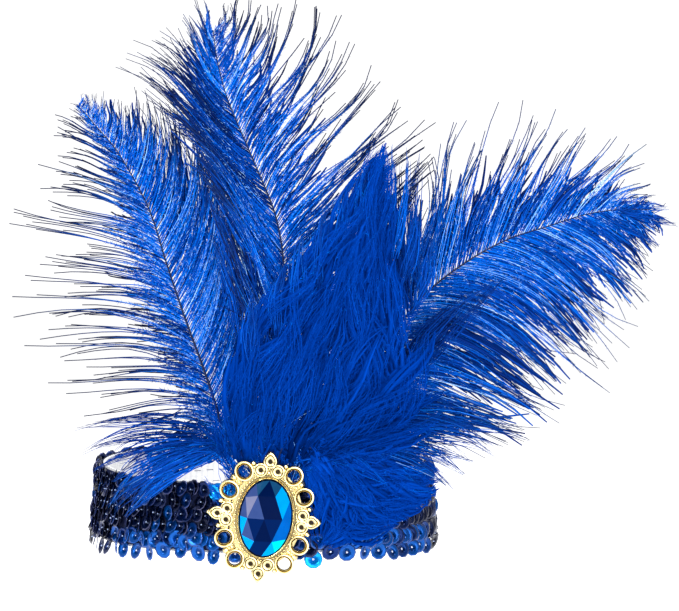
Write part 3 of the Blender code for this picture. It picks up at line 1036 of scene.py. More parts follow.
@dataclass(frozen=True)
class FlameBed:
    """Soft locks shaped like flames: silky barbs that part from a root, swell and meet at a tip. In
    front of the brooch they are kept back behind it."""

    barbs: int = 12
    girth: float = 3.0 * MM
    steps: int = 5
    width: float = 0.17 * MM
    tip_width: float = 0.05 * MM
    fuzz: float = 0.6
    fuzz_length: float = 2.2 * MM
    fuzz_width: float = 0.17 * MM
    dusk: float = 0.0
    tone_rise: float = 0.14
    tone_spread: float = 0.05
    start: Pair = (0.0, 0.35)
    stop: Pair = (0.72, 1.05)
    full_length: float = 18.0 * MM
    flatness: float = 0.7
    ripple: float = 0.6 * MM
    ripple_rate: float = 7.0
    brooch_side: float = 15.0 * MM
    brooch_top: float = 40.0 * MM
    brooch_back: float = -86.2 * MM

    def add(self, joined: JoinedMesh, roots: Array, tips: Array, starts: Array, ends: Array, tone: Array,
            rng: Rng, plump: Array | float = 1.0) -> None:
        """Add flames.

        Args:
            joined: takes the shapes.
            roots: where they begin.
            tips: where they meet.
            starts: unit vectors that they leave along.
            ends: unit vectors that they end along.
            tone: a tone for each.
            rng: source of the irregularities.
            plump: share of the full girth, for each or for all.
        """
        flame = np.repeat(np.arange(len(roots)), self.barbs)
        many = len(flame)
        chord = tips - roots
        first = rng.uniform(*self.start, many)
        final = rng.uniform(*self.stop, many)
        t = first[:, None] + (final - first)[:, None] * np.linspace(0.0, 1.0, self.steps + 1)
        curves = bezier(*(knot[flame] for knot in curve_knots(roots, tips, starts, ends)), t)
        flat = unit(np.cross(unit(chord), DEPTH))[flame]
        angle = rng.uniform(0.0, FULL_TURN, many)
        girth = self.girth * plump * np.minimum(1.0, np.linalg.norm(chord, axis=1) / self.full_length)
        radius = np.sqrt(rng.random(many)) * girth[flame]
        offset = radius[:, None] * (np.cos(angle)[:, None] * flat
                                    + self.flatness * np.sin(angle)[:, None] * DEPTH)
        swell = np.sin(math.pi * np.clip(t, 0.0, 1.0)) ** 0.8 + 0.3 * (1.0 - t)
        curves += swell[..., None] * offset[:, None]
        wave = self.ripple * np.sin(self.ripple_rate * t + rng.uniform(0.0, FULL_TURN, many)[:, None])
        curves += wave[..., None] * flat[:, None]
        aside = np.maximum(np.abs(curves[..., 0]) - self.brooch_side, curves[..., 2] - self.brooch_top)
        curves[..., 1] = np.maximum(curves[..., 1], self.brooch_back - np.maximum(0.0, aside))
        tones = tone[flame] + rng.normal(0.0, self.tone_spread, many)
        tones = np.clip(tones[:, None] + self.tone_rise * (t - 0.55), 0.0, 1.0)
        run = np.linspace(0.0, 1.0, self.steps + 1)[None].repeat(many, axis=0)
        radii = self.tip_width + (self.width - self.tip_width) * (1.0 - run) ** 0.6
        joined.tubes(curves, radii, 3, 0.5, tone=tones, tip=self.dusk * smoothstep((run - 0.6) / 0.4))
        Fuzz(self.fuzz, self.fuzz_length, self.fuzz_width, self.dusk).add(joined, curves, tones, rng)


class Wisp(NamedTuple):
    """A single lock that stands out: root, tip and depth in millimetres, the turns in degrees that it
    leaves and ends with against its chord, and how many strands it has."""

    root_x: float
    root_z: float
    tip_x: float
    tip_z: float
    depth: float
    leave: float
    arrive: float
    strands: int
    girth: float
    tone: float

    def add(self, joined: JoinedMesh, rng: Rng) -> None:
        """Add the lock's strands."""
        root = np.array(((self.root_x, self.depth, self.root_z),)) * MM
        tip = np.array(((self.tip_x, self.depth, self.tip_z),)) * MM
        chord = unit(tip - root)
        bed = FlameBed(barbs=self.strands, girth=self.girth * MM, dusk=0.6, tone_rise=0.15, fuzz=0.3,
                       fuzz_length=1.6 * MM, width=0.26 * MM, tip_width=0.06 * MM)
        bed.add(joined, root, tip, turned(chord, math.radians(self.leave)),
                turned(chord, math.radians(self.arrive)), np.array((self.tone,)), rng)


@dataclass
class MarabouTuft:
    """A marabou tuft: flames of down that follow each other up the tuft and spread to its sides."""

    feather: Feather
    flames: int
    seed: int
    bed: FlameBed = FlameBed()
    length: Pair = (18.0 * MM, 32.0 * MM)
    depth: float = 2.6 * MM
    tone: Pair = (0.36, 0.54)
    # Painted shade: darker tones for the ply behind.
    mat_shade_tone: Pair = (0.26, 0.44)
    mat_bed: FlameBed = FlameBed(barbs=10, girth=4.2 * MM, steps=4, width=1.05 * MM, tip_width=0.14 * MM,
                                 fuzz=0.1, tone_rise=0.10)
    tone_slope: float = 0.0
    slim_from: float = 3.0
    fold_shade: float = 0.16
    curl: float = 0.35
    start_curl: float = 0.25
    breadth: float = 0.82
    breadth_step: float = 0.618
    breadth_spread: float = 0.1
    fan: float = 1.15
    fan_spread: float = 0.28
    fan_limits: Pair = (-1.35, 1.05)
    fold: tuple[float, float, float] = (0.45, 0.12, 0.22)
    quill_radius: float = 0.6 * MM
    quill_taper: float = 0.3
    quill_sink: float = 1.6
    quill_knots: int = 5
    path_steps: int = 24

    def build(self, down: Material, shaft: Material) -> None:
        """Make the quill and the down."""
        node = self.feather.node
        rng = np.random.default_rng(self.seed)
        joined = JoinedMesh()
        self.grow(joined, self.bed, self.flames, 0.0, self.tone, rng)
        self.grow(joined, self.mat_bed, self.flames, 2.0 * self.depth, self.mat_shade_tone, rng)
        show(joined.mesh(f"{node}_down"), down, node)
        stem = self.feather.stem[:self.quill_knots]
        path = along(stem, even_places(stem, self.path_steps))
        path[:, 1] += self.depth * np.linspace(0.0, self.quill_sink, self.path_steps)
        radii = self.quill_radius * np.linspace(1.0, self.quill_taper, self.path_steps)
        quill = JoinedMesh()
        quill.tubes(path[None], radii[None], 8)
        show(quill.mesh(f"{node}_quill"), shaft, node)

    def spot(self, places: Array, lateral: Array) -> Array:
        """Points of the tuft's broad sheet.

        Args:
            places: fractional row numbers.
            lateral: from -1 at the left outline to 1 at the right one.

        Returns:
            A point for each pair.
        """
        left = along(self.feather.tips(Side.LEFT), places)
        right = along(self.feather.tips(Side.RIGHT), places)
        middle = along(self.feather.roots, places)
        a = lateral[:, None]
        return middle + 0.5 * a * (right - left) + a ** 2 * (0.5 * (left + right) - middle)

    def grow(self, joined: JoinedMesh, bed: FlameBed, many: int, lift: float, tone: Pair,
             rng: Rng) -> None:
        """Make one ply of the tuft's flames.

        Args:
            joined: takes the shapes.
            bed: the flames' build.
            many: how many flames.
            lift: how far back the ply lies.
            tone: range of their tones.
            rng: source of the irregularities.
        """
        last = len(self.feather.rows) - 1
        places = (np.arange(many) + rng.random(many)) / many * (last - 0.9)
        lateral = -1.0 + 2.0 * ((np.arange(many) * self.breadth_step) % 1.0)
        lateral = self.breadth * np.clip(lateral + rng.normal(0.0, self.breadth_spread, many), -1.0, 1.0)
        roots = self.spot(places, lateral)
        flow = unit(self.spot(places + 0.3, lateral) - roots)
        length = rng.uniform(*self.length, many)
        half_on = np.minimum(places + 0.5, last)
        pace = np.linalg.norm(self.spot(half_on, lateral) - self.spot(half_on - 0.5, lateral), axis=1) / 0.5
        ahead = np.minimum(places + length / pace, last)
        fanned = self.fan * lateral + rng.normal(0.0, self.fan_spread, many)
        tips = self.spot(ahead, np.clip(fanned, *self.fan_limits))
        swing = lift + rng.normal(0.0, self.depth, many)
        roots[:, 1] += swing
        tips[:, 1] += swing + rng.normal(0.0, 0.7 * self.depth, many) - 0.5 * self.depth
        starts = turned(flow, rng.normal(0.0, self.start_curl, many))
        ends = turned(unit(tips - roots), rng.normal(0.0, self.curl, many))
        tones = rng.uniform(*tone, many) - self.tone_slope * lateral
        # Painted shade: the flames are darker along a slanting fold right of the middle, and at the foot of
        # the tuft.
        middle, slant, width = self.fold
        fold = np.exp(-((lateral - middle + slant * places) / width) ** 2)
        fold *= np.clip(1.2 - 0.2 * places, 0.0, 1.0)
        tones -= self.fold_shade * (fold + 0.8 * np.clip(1.0 - places / 2.5, 0.0, 1.0))
        plump = np.clip((last - places) / self.slim_from, 0.4, 1.0)
        bed.add(joined, roots, tips, starts, ends, tones, rng, plump)


LEFT_PLUME = Feather("plume_left", ((-5, 9, -85.3), (-8.2, 27, -85.3)), (
    (-11.3, 36, -84.8, -12.8, 38.6, -9.8, 38, -84.8),
    (-13.2, 42, -84.2, -50, 24.5, -5.5, 53, -81.5),
    (-16, 53.5, -83.8, -63, 49, -4.5, 71, -79.5),
    (-20.8, 68, -83.4, -76, 71, -5, 92, -77.5),
    (-27, 85, -83.2, -88, 90, -6, 112, -76.5),
    (-33, 103, -83.2, -87, 113, -12, 145, -76.5),
    (-38.8, 121, -83.4, -83, 133, -22, 160, -77.5),
    (-48.4, 139, -84.2, -74, 148, -37, 163, -79.5),
    (-56.5, 149, -85.4, -67.5, 154.5, -54, 162, -83),
    (-62.5, 156, -86.4, -64.5, 158, -61, 161, -86)))

CENTRE_PLUME = Feather("plume_centre", ((-2, 9, -85.3), (0.6, 41, -85.4)), (
    (2.6, 50, -88.4, -11.5, 57, 8, 54, -88.4),
    (5.2, 63, -91, -14, 84, 17, 80, -90.6),
    (6.8, 82, -92.2, -15, 106, 28, 102, -91.4),
    (6.6, 102, -92.6, -18, 130, 54, 129, -91.6),
    (3.9, 118.5, -92.8, -34, 153, 60, 143, -91.8),
    (-2.4, 134.5, -93, -46, 169, 50, 158, -92),
    (-8.2, 148, -93.4, -47, 177, 31, 178, -92.6),
    (-12.6, 159, -94.2, -36, 185, 13, 189, -93.6),
    (-15.4, 170, -95.4, -25, 190, -2, 191, -95.6),
    (-16.8, 180, -96.8, -19, 191, -13, 191, -98)))

RIGHT_PLUME = Feather("plume_right", ((4, 9, -85.3), (12.2, 37, -85.3)), (
    (17, 43.5, -84.4, 14, 54, 27, 39.5, -84),
    (28, 57, -83.6, 22, 84, 57, 33, -80.5),
    (41, 75, -83.2, 42, 126, 74, 36.5, -78.5),
    (53.5, 91, -83, 60, 151, 87, 41, -77),
    (67, 102, -83, 80, 157, 99, 44.5, -76.5),
    (82, 110.5, -83.2, 101, 156, 110, 55, -76),
    (97, 115.5, -83.6, 119, 150, 120, 69, -77),
    (110, 119.5, -84.2, 129.5, 139, 129, 86, -79),
    (121, 121, -85.2, 135, 128.5, 134, 104, -82),
    (131, 121, -86.6, 138, 123, 138, 115, -85.5)))

MARABOU_CENTRE = Feather("marabou_centre", ((1, 9, -85.3), (3, 24, -85.3)), (
    (3.6, 29, -87, -11, 31, 19, 28, -87),
    (5.2, 38, -89.5, -14, 44, 26, 37, -89),
    (8.6, 45.5, -93.5, -13, 55, 40, 40, -91),
    (13.5, 54, -99.5, -10, 68, 54, 47, -94.5),
    (19, 68, -103, -5, 84, 60, 62, -97.5),
    (26, 84, -104.5, 5, 98, 53, 84, -100.5),
    (31.5, 102, -104.5, 17, 110, 43, 103, -102.5),
    (35.5, 119, -103.5, 29, 122, 40, 118, -102),
    (39, 137, -102, 38, 142, 40, 142, -101.5)))

MARABOU_RIGHT = Feather("marabou_right", ((9, 30, -85.3), (11, 38, -85.6)), (
    (12, 43, -87, 15, 46, 9, 40, -87),
    (20, 37, -89.5, 25, 43.5, 14.5, 33, -89),
    (28, 30, -91, 35.5, 42, 16, 23, -89.5),
    (36, 23, -91, 45, 37.5, 17.5, 13.5, -87.5),
    (43, 20.5, -88.5, 53, 36, 20, 8, -83.5),
    (51.5, 17.5, -84.5, 60.5, 31, 22.5, 4.5, -77)))

RIGHT_WISPS = tuple(Wisp(*row) for row in (
    (15, 42, 61, 28, -85, 14, -22, 30, 5, 0.56),
    (17, 44, 70, 36, -84, 12, -20, 32, 5, 0.52),
    (12, 38, 50, 30, -87, 14, -14, 26, 4.5, 0.46),
    (11, 35, 38, 30, -88, 14, -8, 22, 4, 0.50),
    (20, 47, 78, 41, -83.5, 10, -22, 32, 5, 0.46),
    (22, 49, 88, 43.5, -82.5, 10, -22, 30, 5, 0.50),
    (16, 44, 65, 41, -83, 10, -20, 28, 5.5, 0.40),
    (50, 86, 46, 134, -84.5, 12, -14, 24, 3.6, 0.52),
    (48, 82, 42, 122, -85.5, 10, -12, 24, 3.6, 0.46),
    (54, 91, 53, 139, -83.5, 12, -14, 22, 3.6, 0.56),
    (3, 26, 12.5, 33, -85.8, -10, 10, 26, 3.4, 0.26),
    # These two darker locks lie along the lower vane's overlap as painted shade.
    (38, 56, 70, 92, -86.5, 8, -10, 26, 5.5, 0.30),
    (46, 62, 80, 97, -86, 8, -10, 24, 5.5, 0.34),
    (18, 44, 62, 38, -83, 12, -14, 30, 6, 0.42),
    (118, 121, 137, 121.5, -85.2, -4, 6, 18, 1.8, 0.56),
    (120, 121, 140, 116, -85.6, 2, -6, 18, 1.8, 0.44),
    (116, 119.5, 134, 109, -85, 8, -10, 18, 2, 0.50),
    (15, 42, 68.5, 30.5, -84.5, 12, -34, 26, 3.6, 0.54),
    (15, 41, 64, 26.5, -84.8, 10, -34, 24, 3.4, 0.48),
    (17, 43, 77, 38.5, -84, 12, -32, 26, 4, 0.50)))

LEFT_WISPS = tuple(Wisp(*row) for row in (
    (-14.5, 40.5, -52, 22, -86, -22, 26, 34, 3.2, 0.60),
    (-14, 39, -46, 18.5, -86.5, -20, 24, 30, 3.2, 0.56),
    (-14.2, 39.5, -49.5, 20.5, -86.3, -21, 25, 28, 3.6, 0.50),
    (-15, 42, -50, 30, -85.5, -18, 26, 34, 3.2, 0.46),
    (-14.5, 41, -41, 26, -86.2, -20, 22, 32, 3, 0.44),
    (-14.5, 40, -36, 27, -86.4, -18, 20, 26, 2.6, 0.54),
    (-15.5, 42.5, -57, 33, -84.5, -16, 26, 28, 3.4, 0.40),
    (-15.5, 44, -61, 39, -84.5, -16, 24, 22, 2.8, 0.32),
    (-16, 47, -63, 47, -84, -12, 16, 18, 2.4, 0.24),
    (-17, 88, -23, 146, -79.5, -6, 8, 26, 4, 0.44),
    (-23, 98, -33, 153, -79.5, -6, 10, 24, 4, 0.48),
    (-12, 96, -16, 141, -79.5, -6, 8, 26, 4, 0.38),
    (-2, 26, -11.5, 36, -85.8, 10, -10, 26, 3.4, 0.30),
    (0, 23, -8.5, 33, -85.5, 10, -10, 30, 3.8, 0.28),
    (-1, 29, -8, 41, -85.6, 8, -8, 26, 3.6, 0.32)))

CENTRE_WISPS = tuple(Wisp(*row) for row in (
    (-1, 84, -14, 136, -90, -10, 12, 26, 3.6, 0.34),
    (-4, 80, -20, 128, -88.5, -10, 14, 26, 3.8, 0.42),
    (2, 88, -8, 137, -91, -8, 10, 26, 3.2, 0.30),
    (-6, 72, -17, 112, -87.5, -8, 10, 24, 3.6, 0.46),
    (-2, 104, -25, 146, -89, -8, 12, 26, 3.8, 0.32),
    (4, 66, 9, 103, -94, 8, -8, 24, 4.6, 0.30),
    (9, 48, 16, 84, -93, 8, -8, 24, 4.6, 0.32),
    (-3, 46, -8, 78, -88, -8, 8, 24, 4.6, 0.32),
    (20, 60, 31, 98, -97, 8, -8, 26, 5.2, 0.34),
    (28, 62, 37, 94, -96, 8, -8, 24, 4.6, 0.30),
    (6, 84, 14, 118, -90.8, 8, -8, 22, 4.4, 0.42),
    (4, 78, 7, 103, -100.5, 16, -16, 16, 2.6, 0.46),
    (12, 86, 13, 113, -101, 16, -14, 16, 2.6, 0.52),
    (19, 94, 21, 122, -101.5, 16, -14, 16, 2.4, 0.48),
    (26, 104, 28, 130, -102, 14, -12, 16, 2.2, 0.54),
    (33, 112, 34.5, 139, -102, 12, -10, 16, 2, 0.50),
    (-3, 68, -3, 94, -99.5, 16, -14, 16, 2.6, 0.42),
    (39, 110, 42.5, 141, -101.5, -8, 10, 14, 1.8, 0.56),
    (42, 100, 47.5, 139, -101, -10, 12, 16, 2, 0.60),
    (45, 94, 51, 124, -100.5, -12, 12, 16, 2.4, 0.46),
    (49, 86, 56, 112, -100, -12, 12, 16, 2.6, 0.42)))


PLUMES = (
    Plume(LEFT_PLUME,
          VaneHabit(200, 36.0, 8.0, sweep=(0.35, 0.3), reach=(0.6, 1.1), lock=(2, 5), cling=(0.6, 0.98),
                    splay=0.016, wave=0.4 * MM, fuzz=1.6, fuzz_length=1.9 * MM, fuzz_to=0.42, dusk=1.0,
                    dusk_from=0.05, tip_radius=0.2 * MM, under_reach=(0.25, 0.45), mat_reach=(0.2, 0.32)),
          VaneHabit(185, 48.0, -20.0, sweep=(2.6, 0.4), reach=(0.75, 1.08), cling=(0.35, 0.7), splay=0.03,
                    fuzz=1.6, fuzz_to=0.68, tone=(0.45, 0.75), dusk=1.0, dusk_from=0.48,
                    under_reach=(0.6, 0.9), under_shade_tone=(0.3, 0.6), mat_share=0.6, mat_reach=(0.5, 0.85)),
          11, LEFT_WISPS),
    Plume(CENTRE_PLUME,
          VaneHabit(185, 34.0, 14.0, sweep=(1.6, 0.2), lock=(3, 9), cling=(0.55, 0.95), cling_from=0.3,
                    splay=0.03, fuzz=1.5, fuzz_length=1.9 * MM, tone=(0.15, 0.7), mat_share=0.7,
                    mat_reach=(0.5, 0.85)),
          VaneHabit(165, 42.0, 16.0, -48.0, sweep=(1.6, 1.2), reach=(0.9, 1.08), lock=(3, 9),
                    cling=(0.85, 1.0), splay=0.016, wave=1.2 * MM, fuzz=1.6, dusk=1.0, dusk_from=0.4,
                    tip_radius=0.2 * MM),
          21, CENTRE_WISPS),
    Plume(RIGHT_PLUME,
          VaneHabit(160, 42.0, 0.0, sweep=(0.2, 0.4), reach=(0.86, 1.1), lock=(4, 9), cling=(0.75, 1.0),
                    cling_from=0.25, splay=0.02, wave=1.2 * MM, stray=0.02, fuzz=1.5, tone=(0.45, 0.75),
                    dusk_from=0.6, tip_radius=0.18 * MM, under_reach=(0.55, 0.85), under_shade_tone=(0.3, 0.6),
                    mat_share=1.1, mat_reach=(0.4, 0.72)),
          VaneHabit(180, 38.0, 14.0, sweep=(3.2, 0.8), reach=(0.8, 1.12), lock=(5, 11), cling=(0.8, 1.0),
                    cling_from=0.4, splay=0.035, fuzz=1.3, tone=(0.45, 0.75), dusk_from=0.72,
                    under_reach=(0.6, 1.0), under_share=1.0, under_shade_tone=(0.3, 0.6), mat_share=1.6,
                    mat_reach=(0.5, 1.0), mat_shade_tone=(0.2, 0.5)),
          31, RIGHT_WISPS))

TUFTS = (
    MarabouTuft(MARABOU_CENTRE, 118, 51),
    MarabouTuft(MARABOU_RIGHT, 64, 61, FlameBed(girth=2.6 * MM), (13.0 * MM, 24.0 * MM), 1.2 * MM,
                (0.38, 0.54), tone_slope=0.08, slim_from=0.5, fold_shade=0.0))


# Headband


@dataclass(frozen=True)
class HeadOval:
    """The headband's oval, which flares a little towards its lower edge."""

    height: float = 28.0 * MM
    half_width: float = 62.2 * MM
    half_depth: float = 79.6 * MM
    flare: float = 1.2 * MM
    side_drop: float = 2.2 * MM
    side_rise: float = 1.0 * MM

    def points(self, angle: Array, out: Array | float, z: Array | float) -> Array:
        """Points at angles from the front, moved out from the wall, at given heights."""
        flare = self.flare * (1.0 - 2.0 * z / self.height)
        x = (self.half_width + out + flare) * np.sin(angle)
        y = -(self.half_depth + out + flare) * np.cos(angle)
        return np.stack(np.broadcast_arrays(x, y, z), axis=-1)

    def lower(self, angle: Array) -> Array:
        """Height of the lower edge."""
        return -self.side_drop * np.sin(angle) ** 2

    def upper(self, angle: Array) -> Array:
        """Height of the upper edge."""
        return self.height + self.side_rise * np.sin(angle) ** 2

    def between(self, angle: Array | float, foot: float, trim: float, share: Array | float) -> Array:
        """Heights at a share of the way from a foot above the lower edge to a trim below the upper one."""
        low, high = self.lower(angle) + foot, self.upper(angle) - trim
        return low + (high - low) * share

    def even_angles(self, count: int, start: float = 0.0, fine: int = 3000) -> Array:
        """Angles at even steps of the oval's length, from a share of a step on."""
        angles = np.linspace(0.0, FULL_TURN, fine)
        length = run_lengths(self.points(angles, 0.0, 0.0))
        return np.interp((np.arange(count) + start) * length[-1] / count % length[-1], length, angles)


def spin_profile(bm: BMesh, profile: Iterable[Pair], steps: int,
                 marks: Iterable[float] = ()) -> list[BMVert]:
    """Spin a closed profile of (radius, height) into a ring about the Z axis.

    Args:
        bm: takes the ring.
        profile: the profile's corners.
        steps: how many steps the turn has.
        marks: a mark for each corner, from 0 to 1, kept in the groove layer: on the gold, antique patina
            deepened with painted shade, and on a sequin, its painted rim highlight.

    Returns:
        The ring's vertices.
    """
    layer = bm.verts.layers.float.get("groove") or bm.verts.layers.float.new("groove")
    before = set(bm.verts)
    corners = [bm.verts.new((radius, 0.0, height)) for radius, height in profile]
    for corner, mark in zip(corners, marks):
        corner[layer] = mark
    edges = [bm.edges.new((corner, after)) for corner, after in zip(corners, corners[1:] + corners[:1])]
    bmesh.ops.spin(bm, geom=corners + edges, axis=(0.0, 0.0, 1.0), cent=(0.0, 0.0, 0.0),
                   angle=FULL_TURN, steps=steps, use_merge=True)
    ring = [vert for vert in bm.verts if vert not in before]
    faces = {face for vert in ring for face in vert.link_faces}
    bmesh.ops.recalc_face_normals(bm, faces=list(faces))
    return ring


def spin_wall(bm: BMesh, levels: int, steps: int) -> list[tuple[BMVert, float, bool]]:
    """Spin an upright wall, 1 high and from 1 to 2 out, that is then laid on the oval.

    Args:
        bm: takes the wall.
        levels: how many levels it has.
        steps: how many steps the turn has.

    Returns:
        Each vertex, its angle from the front and whether it is on the outside.
    """
    heights = [level / levels for level in range(levels + 1)]
    profile = [(2.0, height) for height in heights] + [(1.0, height) for height in reversed(heights)]
    return [(vert, math.atan2(vert.co.x, -vert.co.y), math.hypot(vert.co.x, vert.co.y) > 1.5)
            for vert in spin_profile(bm, profile, steps)]


def finish_mesh(bm: BMesh, name: str, sharp: float = 40.0) -> bpy.types.Mesh:
    """Turn a bmesh into a mesh, smooth but for the edges sharper than an angle in degrees."""
    mesh = bpy.data.meshes.new(name)
    bm.to_mesh(mesh)
    bm.free()
    mesh.shade_smooth()
    mesh.set_sharp_from_angle(angle=math.radians(sharp))
    return mesh


@dataclass
class ElasticBand:
    """The pale elastic band: a ribbed woven wall with rows of running stitches on its inside. A stitch's
    length is a share of its step, its lift and bow are shares of its radius, and the first row's height
    is a share of the step between rows."""

    oval: HeadOval
    wall: float = 1.4 * MM
    foot: float = 3.8 * MM
    trim: float = 0.9 * MM
    cords: int = 150
    rib_rise: float = 0.16 * MM
    inset: float = 0.15 * MM
    edge_wave: float = 0.12 * MM
    wall_steps: int = 6
    stitch_rows: int = 5
    stitches: int = 74
    stitch_length: float = 0.55
    stitch_radius: float = 0.16 * MM
    stitch_lift: float = 0.4
    stitch_bow: float = 0.2
    first_row: float = 0.7

    def build(self, weave: Material, thread: Material) -> None:
        """Make the band and its stitches."""
        bm = bmesh.new()
        layer = bm.verts.layers.float.new("rib")
        for vert, angle, outside in spin_wall(bm, self.wall_steps, 3 * self.cords):
            cord = math.cos(self.cords * angle)
            rise = 0.5 * self.rib_rise * cord
            out = rise - self.inset if outside else self.inset - self.wall - rise
            wave = self.edge_wave * math.cos(2.0 * self.cords * angle) * (2.0 * vert.co.z - 1.0)
            z = self.oval.between(angle, self.foot, self.trim, vert.co.z) + wave
            # The rib mark is 1 in the valleys between cords, where the painted shade goes.
            vert[layer] = 0.5 - 0.5 * cord
            vert.co = Vector(self.oval.points(np.array(angle), out, z))
        bmesh.ops.recalc_face_normals(bm, faces=bm.faces)
        band = show(finish_mesh(bm, "elastic_band", 60.0), weave, "band_base")
        stitches = self.build_stitches(thread)

    def build_stitches(self, thread: Material) -> bpy.types.Object:
        """Make the rows of running stitches that hold the sequins, seen on the inside."""
        joined = JoinedMesh()
        t = np.linspace(-0.5, 0.5, 3)
        bend = np.array((0.0, 1.0, 0.0))
        for row in range(self.stitch_rows):
            centre = self.oval.even_angles(self.stitches, 0.5 * (row % 2))
            angles = centre[:, None] + self.stitch_length * FULL_TURN / self.stitches * t
            z = self.oval.between(angles, self.foot, self.trim, (row + self.first_row) / self.stitch_rows)
            out = -self.wall - self.stitch_radius * (self.stitch_bow * bend - self.stitch_lift)
            paths = self.oval.points(angles, np.broadcast_to(out, angles.shape), z)
            joined.tubes(paths, np.full(angles.shape, self.stitch_radius), 4)
        return show(joined.mesh("inside_stitches"), thread, "band_base")


